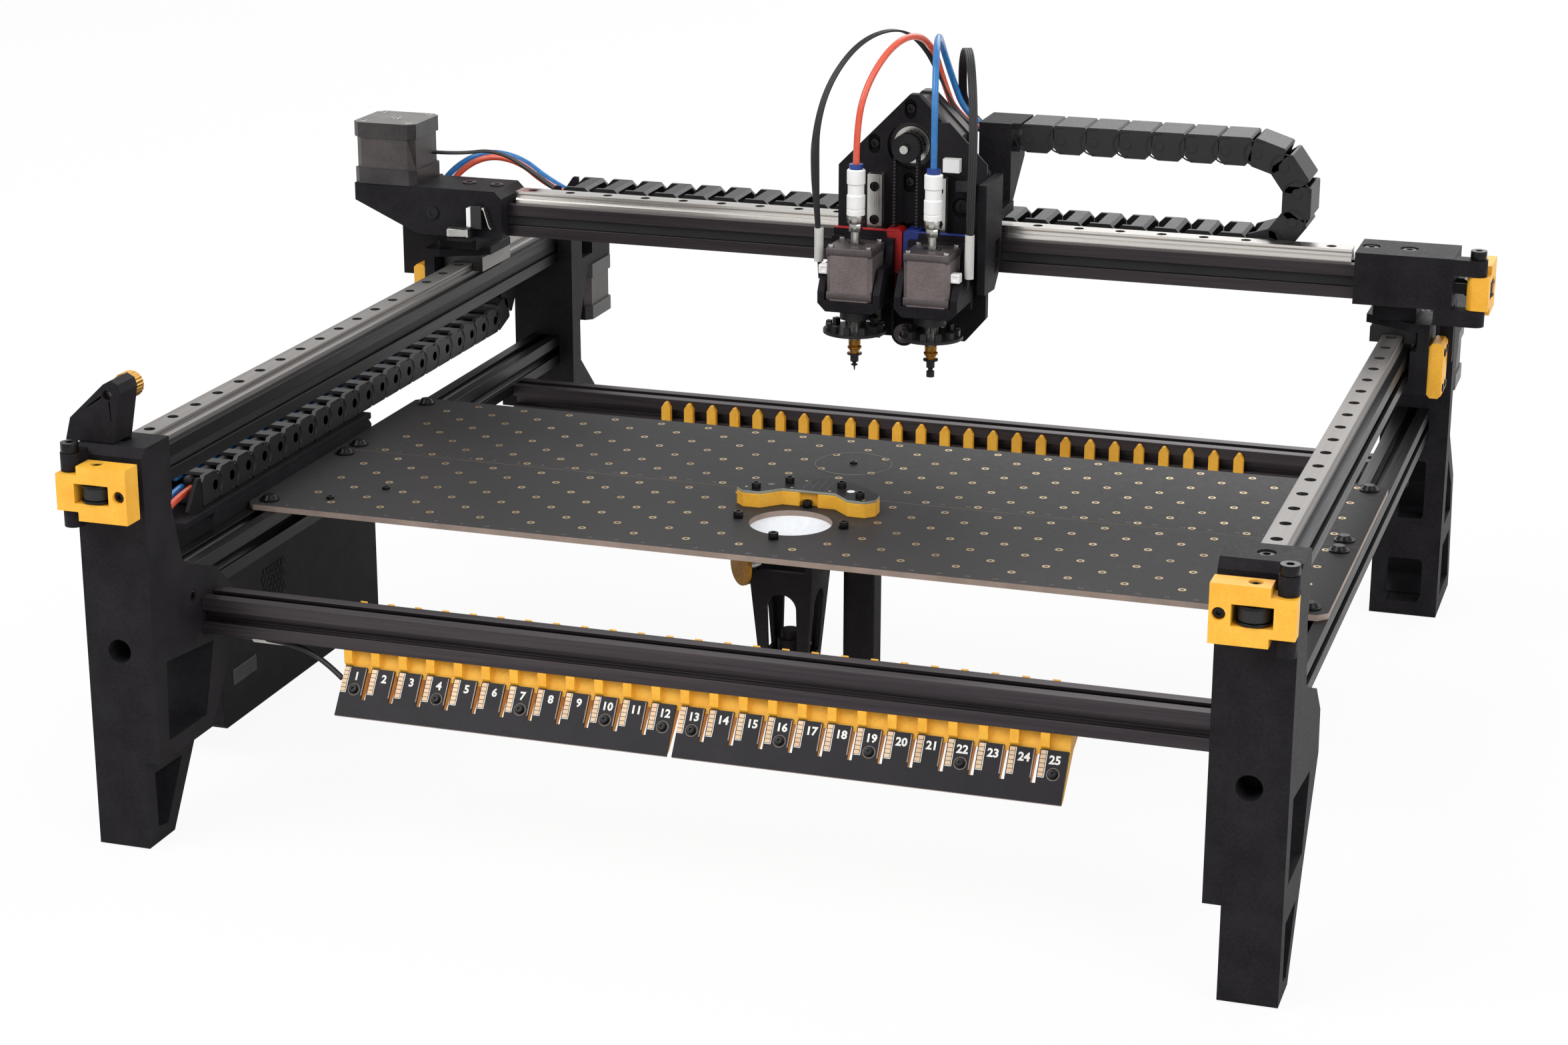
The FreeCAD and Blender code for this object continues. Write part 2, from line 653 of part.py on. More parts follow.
def tensioner_solid():
    """Yellow hinged block in its own frame: idler axis at the origin, belt towards +Y, hinge at +X."""
    outline = [
        (-TENSION_LEFT, -TENSION_HALF),
        (TENSION_SHOULDER, -TENSION_HALF),
        (TENSION_SHOULDER, -TENSION_KNUCKLE_HALF),
        (TENSION_RIGHT, -TENSION_KNUCKLE_HALF),
        (TENSION_RIGHT, TENSION_KNUCKLE_HALF),
        (TENSION_SHOULDER, TENSION_KNUCKLE_HALF),
        (TENSION_SHOULDER, TENSION_HALF),
        (-TENSION_LEFT, TENSION_HALF),
    ]
    body = prism(outline, "y", (-TENSION_OUT, TENSION_IN))
    foot = (TENSION_HINGE, 0, -TENSION_KNUCKLE_HALF)
    hinge_round = rod(TENSION_IN, foot, (0, 0, 1), 2 * TENSION_KNUCKLE_HALF)
    corner = box(
        (TENSION_HINGE, TENSION_RIGHT + 1), (0, TENSION_IN + 1), (-TENSION_KNUCKLE_HALF, TENSION_KNUCKLE_HALF)
    )
    body = body.cut(corner.cut(hinge_round))
    window = box((-9.6, 9.8), (-TENSION_OUT - 1, TENSION_IN + 1), (-TENSION_WINDOW_HALF, TENSION_WINDOW_HALF))
    screw = rod(TENSION_SCREW_R, (-TENSION_SCREW, -TENSION_OUT - 1, 0), (0, 1, 0), 20)
    counter = rod(TENSION_SCREW_R * 1.6, (-TENSION_SCREW, -TENSION_OUT - 1, 0), (0, 1, 0), 4)
    hinge = rod(HINGE_PIN_R + RUNNING, (TENSION_HINGE, 0, -20), (0, 0, 1), 40)
    axle_head = rod(3.4, (0, 0, TENSION_HALF - 3), (0, 0, 1), 5)
    body = body.cut(Part.makeCompound([window, screw, counter, hinge, axle_head]))
    axle = rod(AXLE_R, (0, 0, -TENSION_WINDOW_HALF - 1), (0, 0, 1), 2 * TENSION_WINDOW_HALF + 2)
    return body.fuse(axle)


def y_tensioner():
    """Tensioner block on the right front leg."""
    return moved(tensioner_solid(), SIDE_X, Y_IDLER_Y, UPPER_Z)


def turned_to_x(shape, x, y, z):
    """Turn a shape built for a front leg so that it faces +X, hinge to the front."""
    copy = shape.mirror(V(0, 0, 0), V(1, 0, 0))
    copy.rotate(V(0, 0, 0), V(0, 0, 1), 90)
    copy.translate(V(x, y, z))
    return copy


def x_tensioner():
    """Tensioner block on the right end of the gantry."""
    return turned_to_x(tensioner_solid(), X_IDLER_X, GANTRY_Y, GANTRY_Z)


def hinge_screw(x, y, z):
    """Shoulder screw of a tensioner hinge."""
    top = z + TENSION_KNUCKLE_HALF + CLEAR + KNUCKLE_LENGTH
    bottom = z - TENSION_KNUCKLE_HALF - CLEAR - KNUCKLE_LENGTH
    pin = rod(HINGE_PIN_R, (x, y, bottom), (0, 0, 1), top - bottom)
    head = rod(HINGE_HEAD_R, (x, y, top), (0, 0, 1), HINGE_HEAD)
    turns = [math.radians(a) for a in range(0, 360, 60)]
    corners = [(x + 2.2 * math.cos(a), y + 2.2 * math.sin(a)) for a in turns]
    socket = prism(corners, "z", (top + 2.4, top + 6.4))
    return pin.fuse(head).cut(socket)


def frame_hardware():
    """Hinge screws of the side tensioners, button heads that hold the plates and rear beam gussets."""
    hinge = hinge_screw(SIDE_X + TENSION_HINGE, Y_IDLER_Y, UPPER_Z)
    pieces = [hinge, across(hinge)]
    top = PLATE_Z + PLATE_THICK
    for y in PLATE_BOLT_Y:
        washer = rod(5.6, (PLATE_BOLT_X, y, top), (0, 0, 1), 0.9)
        head = Part.makeCone(4.6, 3.0, 2.4, V(PLATE_BOLT_X, y, top + 0.9))
        bolt = washer.fuse(head)
        pieces += [bolt, across(bolt)]
    for x, y in light_screw_places():
        shank = rod(LIGHT_SCREW_R, (x, y, PLATE_Z), (0, 0, 1), PLATE_THICK)
        pieces.append(rod(2.8, (x, y, top), (0, 0, 1), 3.0).fuse(shank))
    back = REAR_BEAM_Y + BEAM / 2
    low = CROSS_Z - BEAM / 2
    high = LOWER_Z - BEAM / 2
    reach = back + GUSSET_REACH
    outline = [(back, low), (back, high), (reach, high), (reach, high - GUSSET_THICK)]
    gusset = prism(outline, "x", (SIDE_X - 27.8, SIDE_X + 6.2))
    pieces += [gusset, across(gusset)]
    return Part.makeCompound(pieces)


def plate(y, free_end):
    """Flat work plate with chamfers at its free corners."""
    c = PLATE_CORNER
    out = y[1] if free_end > 0 else y[0]
    seam = y[0] if free_end > 0 else y[1]
    inner = out - free_end * c
    half = PLATE_X
    points = [(-half, seam), (half, seam), (half, inner), (half - c, out), (-half + c, out), (-half, inner)]
    return prism(points, "z", (PLATE_Z, PLATE_Z + PLATE_THICK))


def light_screw_places():
    """Places of the four screws around the light opening."""
    turns = [math.radians(90 * i) for i in range(4)]
    radius = LIGHT_SCREW_RING_R
    return [(LIGHT_X + radius * math.cos(a), LIGHT_Y + radius * math.sin(a)) for a in turns]


def plates():
    """Front plate with its light opening and screw holes, and the plain rear plate."""
    holes = [rod(LIGHT_R, (LIGHT_X, LIGHT_Y, PLATE_Z - 1), (0, 0, 1), 6)]
    holes += [rod(LIGHT_SCREW_R, (x, y, PLATE_Z - 1), (0, 0, 1), 6) for x, y in light_screw_places()]
    front = plate(PLATE_FRONT_Y, -1).cut(Part.makeCompound(holes))
    return Part.makeCompound([front, plate(PLATE_REAR_Y, 1)])


def light_ring():
    """White diffuser bowl under the opening."""
    top = PLATE_Z
    outer = rod(DIFFUSER_R, (LIGHT_X, LIGHT_Y, top - 9), (0, 0, 1), 9)
    bowl = Part.makeCone(12.0, LIGHT_R, 9.2, V(LIGHT_X, LIGHT_Y, top - 9.1))
    return outer.cut(bowl)


def camera_tower():
    """Tapered camera tower with arched windows that hangs under the light, and the pump beside it."""
    top = PLATE_Z - 9
    collar = box((LIGHT_X - 18, LIGHT_X + 18), (LIGHT_Y - 18, LIGHT_Y + 18), (114, top))
    collar = collar.cut(box((LIGHT_X - 15, LIGHT_X + 15), (LIGHT_Y - 15, LIGHT_Y + 15), (114, top + 1)))
    collar = collar.cut(box((LIGHT_X - 14, LIGHT_X + 14), (LIGHT_Y - 20, LIGHT_Y + 20), (118, top - 3)))
    sections = []
    for z, half in ((114.0, 18.0), (60.0, 13.5)):
        signs = ((-1, -1), (1, -1), (1, 1), (-1, 1))
        corners = [V(LIGHT_X + sx * half, LIGHT_Y + sy * half, z) for sx, sy in signs]
        sections.append(Part.makePolygon(corners + corners[:1]))
    shell = Part.makeLoft(sections, True, True)
    inner = []
    for z, half in ((114.5, 15.5), (59.5, 11.0)):
        signs = ((-1, -1), (1, -1), (1, 1), (-1, 1))
        corners = [V(LIGHT_X + sx * half, LIGHT_Y + sy * half, z) for sx, sy in signs]
        inner.append(Part.makePolygon(corners + corners[:1]))
    shell = shell.cut(Part.makeLoft(inner, True, True))
    arch = box((-8.5, 8.5), (-30, 30), (66, 96)).fuse(rod(8.5, (0, -30, 96), (0, 1, 0), 60))
    side_arch = arch.copy()
    side_arch.rotate(V(0, 0, 0), V(0, 0, 1), 90)
    shell = shell.cut([moved(arch, LIGHT_X, LIGHT_Y), moved(side_arch, LIGHT_X, LIGHT_Y)])
    base = box((LIGHT_X - 13.5, LIGHT_X + 13.5), (LIGHT_Y - 13.5, LIGHT_Y + 13.5), (52, 60))
    lens = rod(7.0, (LIGHT_X, LIGHT_Y, 60), (0, 0, 1), 14)
    lens = lens.fuse(rod(5.0, (LIGHT_X, LIGHT_Y, 74), (0, 0, 1), 5))
    tower = collar.fuse([shell, base, lens])
    disc = rod(10.8, (LIGHT_X - 22.0, LIGHT_Y - 10, 117.5), (1, 0.35, 0), 1.6)
    stub = rod(2.5, (LIGHT_X - 21.0, LIGHT_Y - 9.6, 117.5), (1, 0.35, 0), 5.0)
    pump = rounded_box((26.0, 44.0), (-92.0, -72.0), (52.0, PLATE_Z), 4.0, "z")
    pump = pump.cut(rod(DIFFUSER_R, (LIGHT_X, LIGHT_Y, top), (0, 0, 1), 20))
    return Part.makeCompound([tower.fuse([disc, stub]), pump])


def nozzle_rack():
    """Yellow nozzle rack with its cover board, bolted on the front plate."""
    z0 = PLATE_Z + PLATE_THICK
    outline = [
        (-56.0, -58.0),
        (-50.0, -66.0),
        (-40.0, -66.0),
        (-32.0, -58.5),
        (-10.0, -58.5),
        (-6.0, -61.0),
        (2.0, -61.0),
        (6.0, -58.5),
        (26.0, -58.5),
        (34.0, -66.0),
        (44.0, -66.0),
        (49.0, -60.0),
        (49.0, -54.0),
        (34.0, -46.5),
        (-38.0, -46.5),
        (-56.0, -52.0),
    ]
    body = prism(outline, "z", (z0, z0 + 8.5))
    board = prism(outline, "z", (z0 + 8.5, z0 + 10.1))
    screws = []
    for x, y in ((-45.0, -56.0), (-22.0, -52.0), (18.0, -52.0), (38.0, -57.0)):
        screws.append(rod(2.8, (x, y, z0 + 10.1), (0, 0, 1), 3.0))
    return Part.makeCompound([body, board] + screws)


def board_back():
    """Upper and lower corner of the circuit boards' back face, as Y and Z."""
    (y0, z0), (y1, z1) = BOARD_TOP, BOARD_BOTTOM
    length = math.hypot(y1 - y0, z1 - z0)
    ny, nz = -(z1 - z0) / length * BOARD_THICK, (y1 - y0) / length * BOARD_THICK
    return (y0 + ny, z0 + nz), (y1 + ny, z1 + nz)


def feeder_strips():
    """Front strip with slot guides and rear strip with pointed prongs."""
    top = CROSS_Z - BEAM / 2
    front_face = FRONT_BEAM_Y - BEAM / 2
    rear_face = FRONT_BEAM_Y + BEAM / 2
    (y0, z0), (y1, z1) = board_back()
    body = prism(
        [
            (front_face + 4.8, top),
            (rear_face + 4.0, top),
            (rear_face + 4.0, top - 4.7),
            (front_face + 9.0, top - 11.0),
            (y1 + 3.5, z1 + 1.5),
            (y1, z1),
            (y0, z0),
        ],
        "x",
        (FEEDER_FIRST_X, FEEDER_FIRST_X + STRIP_LENGTH),
    )
    slots = []
    pieces = []
    for i in range(FEEDER_COUNT):
        x = FEEDER_FIRST_X + FEEDER_PITCH * i
        slots.append(box((x - SLOT_WIDTH, x), (y1 - 5, front_face + 7.0), (z1 - 3, z0 - 2.0)))
        post = [
            (front_face - 0.4, top),
            (front_face + 5.0, top),
            (front_face + 5.0, z0 - 1.0),
            (y0, z0),
            (y0 - 0.6, z0 + 1.2),
            (front_face - 0.4, z0 + 2.5),
        ]
        pieces.append(prism(post, "x", (x, x + POST_WIDTH)))
        near, far = rear_face + 0.3, rear_face + 2.1
        shoulder = PIN_TOP_Z - 1.5
        pin = [(near, top - 2.0), (far, top - 2.0), (far, shoulder)]
        pin += [(near + 0.9, PIN_TOP_Z), (near, shoulder)]
        pieces.append(prism(pin, "x", (x + 0.4, x + 0.4 + PIN_WIDTH)))
    front = body.cut(Part.makeCompound(slots)).fuse(pieces)
    beam_front = REAR_BEAM_Y - BEAM / 2
    length = (PRONG_FIRST_X - 5, PRONG_FIRST_X - 5 + STRIP_LENGTH - 12)
    bar = box(length, (beam_front - PRONG_THICK, beam_front + 16.5), (top - PRONG_BAR, top))
    bar = bar.cut(box(length, (beam_front - PRONG_THICK - 1, beam_front), (top, top + 1)))
    prongs = []
    for i in range(FEEDER_COUNT):
        x = PRONG_FIRST_X + FEEDER_PITCH * i
        half = PRONG_WIDTH / 2
        prong = [
            (x - half, top - 1.0),
            (x + half, top - 1.0),
            (x + half, PRONG_TIP_Z - 3.5),
            (x + 0.8, PRONG_TIP_Z),
            (x - 0.8, PRONG_TIP_Z),
            (x - half, PRONG_TIP_Z - 3.5),
        ]
        prongs.append(prism(prong, "y", (beam_front - PRONG_THICK, beam_front)))
    rear = bar.fuse(prongs)
    return Part.makeCompound([front.removeSplitter(), rear.removeSplitter()])


def slot_boards():
    """Two tilted circuit boards with an open slot beside every feeder place."""
    (y0, z0), (y1, z1) = BOARD_TOP, BOARD_BOTTOM
    length = math.hypot(y1 - y0, z1 - z0)
    dy, dz = (y1 - y0) / length, (z1 - z0) / length
    ny, nz = -dz * BOARD_THICK, dy * BOARD_THICK
    outline = [(y0, z0), (y1, z1), (y1 + ny, z1 + nz), (y0 + ny, z0 + nz)]
    deep = BOARD_SLOT_SHARE * length
    mouth = [
        (y0 - dy * 1 - ny, z0 - dz * 1 - nz),
        (y0 + dy * deep - ny, z0 + dz * deep - nz),
        (y0 + dy * deep + 2 * ny, z0 + dz * deep + 2 * nz),
        (y0 - dy * 1 + 2 * ny, z0 - dz * 1 + 2 * nz),
    ]
    boards = []
    for first, last, left, right in ((1, 11, -191.5, -7.2), (13, 24, -4.4, 196.8)):
        slots = []
        for k in range(first, last + 1):
            x = FEEDER_FIRST_X + FEEDER_PITCH * k
            slots.append(prism(mouth, "x", (x - SLOT_WIDTH, x)))
        boards.append(prism(outline, "x", (left, right)).cut(Part.makeCompound(slots)))
    return Part.makeCompound(boards)


def knob_bracket():
    """Sloped bracket on the left front leg with a through hole for the thumb screw."""
    x = -KNOB_X
    z = LEG_TOP_Z
    body = prism(
        [
            (x - 25.4, z),
            (x - 22.2, z + 12.0),
            (x - 2.1, z + 31.0),
            (x + 2.4, z + 33.5),
            (x + 6.4, z + 31.5),
            (x + 7.8, z + 27.0),
            (x + 2.8, z),
        ],
        "y",
        (LEG_FRONT_Y + 6.0, LEG_FRONT_Y + 24.3),
    )
    return body.cut(rod(SHAFT_R, (x, LEG_FRONT_Y, z + KNOB_RISE), (0, 1, 0), 30))


def thumb_knob():
    """Knurled brass thumb screw."""
    z = LEG_TOP_Z + KNOB_RISE
    start = LEG_FRONT_Y + 24.6
    points = []
    teeth = 24
    for i in range(teeth * 2):
        radius = KNOB_R if i % 2 else KNOB_R - 0.4
        angle = math.pi * i / teeth
        points.append((-KNOB_X + radius * math.cos(angle), z + radius * math.sin(angle)))
    head = prism(points, "y", (start, start + 7.7))
    return head.fuse(rod(SHAFT_R - RUNNING, (-KNOB_X, start - 14.3, z), (0, 1, 0), 20))


def housing():
    """Controller housing outside the left beams, with the chain tray as its lid and the chain's anchor."""
    inner = -SIDE_X - BEAM / 2
    back = HOUSING_FRONT_Y + HOUSING_LENGTH
    height = (HOUSING_FLOOR_Z, HOUSING_TOP_Z)
    body = bevelled_box((inner - HOUSING_DEPTH, inner), (HOUSING_FRONT_Y, back), height, HOUSING_BEVEL, "x")
    tray_top = HOUSING_TOP_Z + TRAY_THICK
    tray = box((inner - TRAY_DEPTH, inner), (HOUSING_FRONT_Y - TRAY_NOSE, back), (HOUSING_TOP_Z, tray_top))
    end = Y_CHAIN_BEND_Y - Y_CHAIN_LOW_LINKS * LINK_PITCH - CLEAR
    half = LINK_WIDTH / 2
    top = Y_CHAIN_LOW_Z + LINK_HEIGHT / 2
    cheek = [(end, tray_top), (end, top), (end - 3.5, top)]
    cheek += [(end - 16.0, tray_top + 2.0), (end - 16.0, tray_top)]
    anchor = prism(cheek, "x", (Y_CHAIN_X - half, Y_CHAIN_X - half + LINK_WALL))
    other = prism(cheek, "x", (Y_CHAIN_X + half - LINK_WALL, Y_CHAIN_X + half))
    return Part.makeCompound([body, tray.fuse([anchor, other])])


def link(closed_side):
    """One chain link along +X, centred on its pitch, with a lid on one side and a bar on the other."""
    half = LINK_PITCH / 2 - LINK_GAP / 2
    height = LINK_HEIGHT / 2
    outline = [
        (-half, -height + 3.5),
        (-half + 3.5, -height),
        (half - 3.5, -height),
        (half, -height + 3.5),
        (half, height - 1.0),
        (half - 1.0, height),
        (-half + 1.0, height),
        (-half, height - 1.0),
    ]
    width = LINK_WIDTH / 2
    shell = prism(outline, "y", (-width, width))
    clear = (-width + LINK_WALL, width - LINK_WALL)
    inside = box((-LINK_PITCH, LINK_PITCH), clear, (-height + LINK_SKIN, height - LINK_SKIN))
    gap = box((-half - 1, -1.5), clear, (-height - 1, 0))
    shell = shell.cut([inside, gap])
    if closed_side < 0:
        shell.rotate(V(0, 0, 0), V(1, 0, 0), 180)
    return shell


def chain(low_links, top_links):
    """Chain that runs back along +X below, bends up and returns above, bend centre at the origin."""
    links = []
    for i in range(low_links):
        links.append(moved(link(-1), -LINK_PITCH * (i + 0.5), 0, -CHAIN_R))
    step = math.pi / BEND_LINKS
    for i in range(BEND_LINKS):
        angle = -math.pi / 2 + step * (i + 0.5)
        piece = link(-1)
        piece.rotate(V(0, 0, 0), V(0, 1, 0), -math.degrees(angle) - 90)
        radius = CHAIN_R * math.cos(step / 2) + 0.4
        piece.translate(V(radius * math.cos(angle), 0, radius * math.sin(angle)))
        links.append(piece)
    for i in range(top_links):
        links.append(moved(link(1), -LINK_PITCH * (i + 0.5), 0, CHAIN_R))
    return links


def x_chain():
    """Drag chain of the head, lying behind the gantry beam."""
    links = chain(X_CHAIN_LOW_LINKS, X_CHAIN_TOP_LINKS)
    group = Part.makeCompound(links)
    return moved(group, X_CHAIN_BEND_X, X_CHAIN_Y, X_CHAIN_TOP_Z - CHAIN_R)


def x_chain_tray():
    """Tray on the back of the gantry beam with the chain's anchor at its left end."""
    back = GANTRY_Y + BEAM / 2
    low = X_CHAIN_TOP_Z - 2 * CHAIN_R - LINK_HEIGHT / 2
    end = X_CHAIN_BEND_X - X_CHAIN_LOW_LINKS * LINK_PITCH - CLEAR
    half = LINK_WIDTH / 2
    bed = (low - CLEAR - 3.0, low - CLEAR)
    tray = box((end - 16.0, X_CHAIN_BEND_X + 36.0), (back, X_CHAIN_Y + half + 1.0), bed)
    top = low + LINK_HEIGHT
    cheek = [(end, low - CLEAR), (end, top), (end - 3.5, top)]
    cheek += [(end - 14.0, low + 2.0), (end - 14.0, low - CLEAR)]
    sides = []
    for y in (X_CHAIN_Y - half, X_CHAIN_Y + half - LINK_WALL):
        sides.append(prism(cheek, "y", (y, y + LINK_WALL)))
    return tray.fuse(sides).removeSplitter()


def y_chain():
    """Drag chain of the gantry, lying on the tray."""
    group = Part.makeCompound(chain(Y_CHAIN_LOW_LINKS, Y_CHAIN_TOP_LINKS))
    group.rotate(V(0, 0, 0), V(0, 0, 1), 90)
    return moved(group, Y_CHAIN_X, Y_CHAIN_BEND_Y, Y_CHAIN_LOW_Z + CHAIN_R)


def belt_slot_x(x):
    """Room for the gantry belt inside an end block."""
    return box(x, (GANTRY_Y - BELT_R - 2.4, GANTRY_Y + BELT_R + 2.4), (GANTRY_Z - 4.3, GANTRY_Z + 4.3))


def gantry_block_left():
    """Printed left end of the gantry, with the motor shelf and the chain arm."""
    outer = X_MOTOR_X - MOTOR / 2 + CLEAR
    end = X_RAIL_X[0] - 4.0
    outline = [
        (outer, BLOCK_TOP_Z),
        (outer, BLOCK_LOW_Z + 19.2),
        (X_MOTOR_X + 17.6, BLOCK_LOW_Z + 1.8),
        (X_MOTOR_X + 23.0, BLOCK_LOW_Z),
        (end, BLOCK_LOW_Z),
        (end, BLOCK_TOP_Z - 4.5),
        (end - 4.5, BLOCK_TOP_Z),
    ]
    body = prism(outline, "y", BLOCK_Y)
    motor_room = (X_MOTOR_X - MOTOR / 2, X_MOTOR_X + MOTOR / 2)
    shelf = box(motor_room, (BLOCK_Y[1] - 1, BLOCK_Y[1] + 4.0), (BLOCK_TOP_Z - 5.0, BLOCK_TOP_Z))
    wall = (BLOCK_Y[1] - 5.6, BLOCK_Y[1])
    shelf_top = Y_CHAIN_LOW_Z + 2 * CHAIN_R - LINK_HEIGHT / 2
    post = box((Y_CHAIN_X - 2.2, Y_CHAIN_X + 5.6), wall, (shelf_top - 7.4, BLOCK_LOW_Z + 2.7))
    across_chain = (Y_CHAIN_X - 16.2, Y_CHAIN_X + 8.6)
    hanger = box(across_chain, wall, (shelf_top - 3.0, BLOCK_LOW_Z + 13.2))
    under = box(across_chain, (wall[0], wall[1] + 23.0), (shelf_top - 3.0, shelf_top))
    arm = hanger.fuse(under)
    body = body.fuse([shelf, post, arm])
    room = [
        beam_room("x", GANTRY_Y, GANTRY_Z, (X_BEAM_X[0], 0)),
        box((X_RAIL_X[0] - 0.5, 0), (GANTRY_Y - 6.2, GANTRY_Y + 6.2), (GANTRY_Z + 10, BLOCK_TOP_Z + 1)),
        belt_slot_x((X_MOTOR_X, X_BEAM_X[0] + 1)),
        rod(11.2, (X_MOTOR_X, GANTRY_Y, GANTRY_Z - 15), (0, 0, 1), 40),
    ]
    return body.cut(Part.makeCompound(room)).removeSplitter()


def gantry_block_right():
    """Printed right end of the gantry with the knuckles of its tensioner, and the hinge screw."""
    end = X_IDLER_X - 13.0
    body = box((SIDE_X - 22.0, end), BLOCK_Y, (BLOCK_LOW_Z, BLOCK_TOP_Z))
    post_z = (BLOCK_LOW_Z - 38.8, BLOCK_LOW_Z + 0.7)
    post = box((end - 8.8, end - 1.0), (BLOCK_Y[1] - 5.6, BLOCK_Y[1]), post_z)
    hinge_y = GANTRY_Y - TENSION_HINGE
    pieces = [post]
    above = GANTRY_Z + TENSION_KNUCKLE_HALF + CLEAR
    below = GANTRY_Z - TENSION_KNUCKLE_HALF - CLEAR - KNUCKLE_LENGTH
    for low in (above, below):
        pieces.append(rod(KNUCKLE_R + 0.5, (X_IDLER_X, hinge_y, low), (0, 0, 1), KNUCKLE_LENGTH))
        span = (low, low + KNUCKLE_LENGTH)
        pieces.append(box((end - 10.0, X_IDLER_X), (hinge_y - 5.5, hinge_y + 5.0), span))
    body = body.fuse(pieces)
    room = [
        beam_room("x", GANTRY_Y, GANTRY_Z, (0, X_BEAM_X[1])),
        belt_slot_x((X_BEAM_X[1] - 1, end + 2.0)),
        rod(HINGE_PIN_R, (X_IDLER_X, hinge_y, GANTRY_Z - 50), (0, 0, 1), 100),
        rod(5.2, (SIDE_X - 15.3, GANTRY_Y, BLOCK_TOP_Z - 3), (0, 0, 1), 4),
        rod(5.2, (SIDE_X + 6.5, GANTRY_Y, BLOCK_TOP_Z - 3), (0, 0, 1), 4),
    ]
    body = body.cut(Part.makeCompound(room)).removeSplitter()
    return Part.makeCompound([body, hinge_screw(X_IDLER_X, hinge_y, GANTRY_Z)])


def x_beam():
    """Slotted gantry beam."""
    return beam("x", GANTRY_Y, GANTRY_Z, X_BEAM_X)


def x_rail():
    """Profile rail on top of the gantry beam."""
    return rail("x", GANTRY_Y, GANTRY_Z + BEAM / 2, X_RAIL_X, X_RAIL_END)


def carriage(length, width, rise, lift, groove, rail_rise):
    """Ball carriage along +Y over a rail whose base is at Z = 0."""
    half = length / 2
    w = width / 2
    g = groove / 2 + CLEAR
    profile = [
        (-w, lift),
        (-g, lift),
        (-g, rail_rise + CLEAR),
        (g, rail_rise + CLEAR),
        (g, lift),
        (w, lift),
        (w, rise - 1.0),
        (w - 1.0, rise),
        (-w + 1.0, rise),
        (-w, rise - 1.0),
    ]
    return prism(profile, "y", (-half, half))


def y_carriages():
    """Carriages of both side rails."""
    body = carriage(CARRIAGE_LENGTH, CARRIAGE_WIDTH, CARRIAGE_RISE, CARRIAGE_LIFT, RAIL_WIDTH, RAIL_HEIGHT)
    return both(moved(body, SIDE_X, CARRIAGE_Y, UPPER_Z + BEAM / 2))


def slider_bracket():
    """Bracket between the right carriage and the gantry block, with the belt arm."""
    top = UPPER_Z + BEAM / 2 + CARRIAGE_RISE
    face = SIDE_X + BEAM / 2 + ARM_GAP
    out = face + ARM_WIDTH
    y = GANTRY_Y
    outline = [
        (SIDE_X - 16.6, y + 5.9),
        (face, y - 10.7),
        (out, y - 10.7),
        (out, y + 23.3),
        (SIDE_X + 11.2, y + 23.3),
        (SIDE_X + 11.2, y + 38.3),
        (SIDE_X - 16.6, y + 38.3),
    ]
    base = prism(outline, "z", (top, top + 5.0))
    length = (y - 10.7, y + 23.3)
    arm = box((out - 6.8, out), length, (UPPER_Z - 14.0, top + 5.0))
    foot = box((face, out), length, (UPPER_Z - 14.0, UPPER_Z + 11.2))
    tongue = box((face - 3.4, face + 0.1), (y - 0.7, y + 17.3), (UPPER_Z - 2.3, UPPER_Z + 2.3))
    spacer = box((SIDE_X - 11.8, SIDE_X + 13.2), (y - 5.7, y + 33.3), (top + 4.9, BLOCK_LOW_Z))
    return base.fuse([arm, foot, tongue, spacer]).removeSplitter()


def slider_brackets():
    """Brackets of both sides."""
    return both(slider_bracket())


def belt_clamps():
    """Yellow clamps bolted on the arms outside the beams."""
    face = SIDE_X + BEAM / 2 + ARM_GAP + ARM_WIDTH
    length = (GANTRY_Y - 8.7, GANTRY_Y + 12.3)
    return both(bevelled_box((face, face + 8.6), length, (UPPER_Z - 16.1, UPPER_Z + 16.7), 2.0, "y"))


def x_motor():
    """Gantry motor standing on the left block, shaft down."""
    shaft = BLOCK_TOP_Z - GANTRY_Z + 5.0
    seat = (X_MOTOR_X, GANTRY_Y, BLOCK_TOP_Z)
    return square_motor(seat, (0, 0, -1), MOTOR, MOTOR_CORNER, MOTOR_LENGTH, shaft, True)


def x_belt():
    """Gantry belt inside the front and rear slots of its beam."""
    return belt((X_MOTOR_X, GANTRY_Y), (X_IDLER_X, GANTRY_Y), "z", GANTRY_Z)


def x_pulley():
    """Drive pulley of the gantry motor."""
    wheel = pulley((X_MOTOR_X, GANTRY_Y, GANTRY_Z), (0, 0, 1), 1)
    return wheel.cut(rod(SHAFT_R + RUNNING, (X_MOTOR_X, GANTRY_Y, GANTRY_Z - 30), (0, 0, 1), 60))


def limit_switches():
    """Bodies of the two limit switches on the left block, and the shelf of the lower one."""
    face = BLOCK_Y[0]
    low = BLOCK_LOW_Z
    x = -SIDE_X
    x_body = box((x + 17.8, x + 24.8), (face - 6.4, face), (low + 7.2, low + 21.7))
    outline = [(x + 0.3, face), (x + 3.8, face - 12.7), (x + 18.8, face - 12.7), (x + 21.8, face)]
    shelf = prism(outline, "z", (low, low + 1.8))
    rib = box((x + 3.8, x + 17.8), (face - 2.2, face), (low + 1.2, low + 8.2))
    y_body = box((x + 3.8, x + 18.3), (face - 9.7, face - 3.7), (low + 1.8, low + 8.2))
    return Part.makeCompound([x_body, shelf.fuse(rib), y_body])


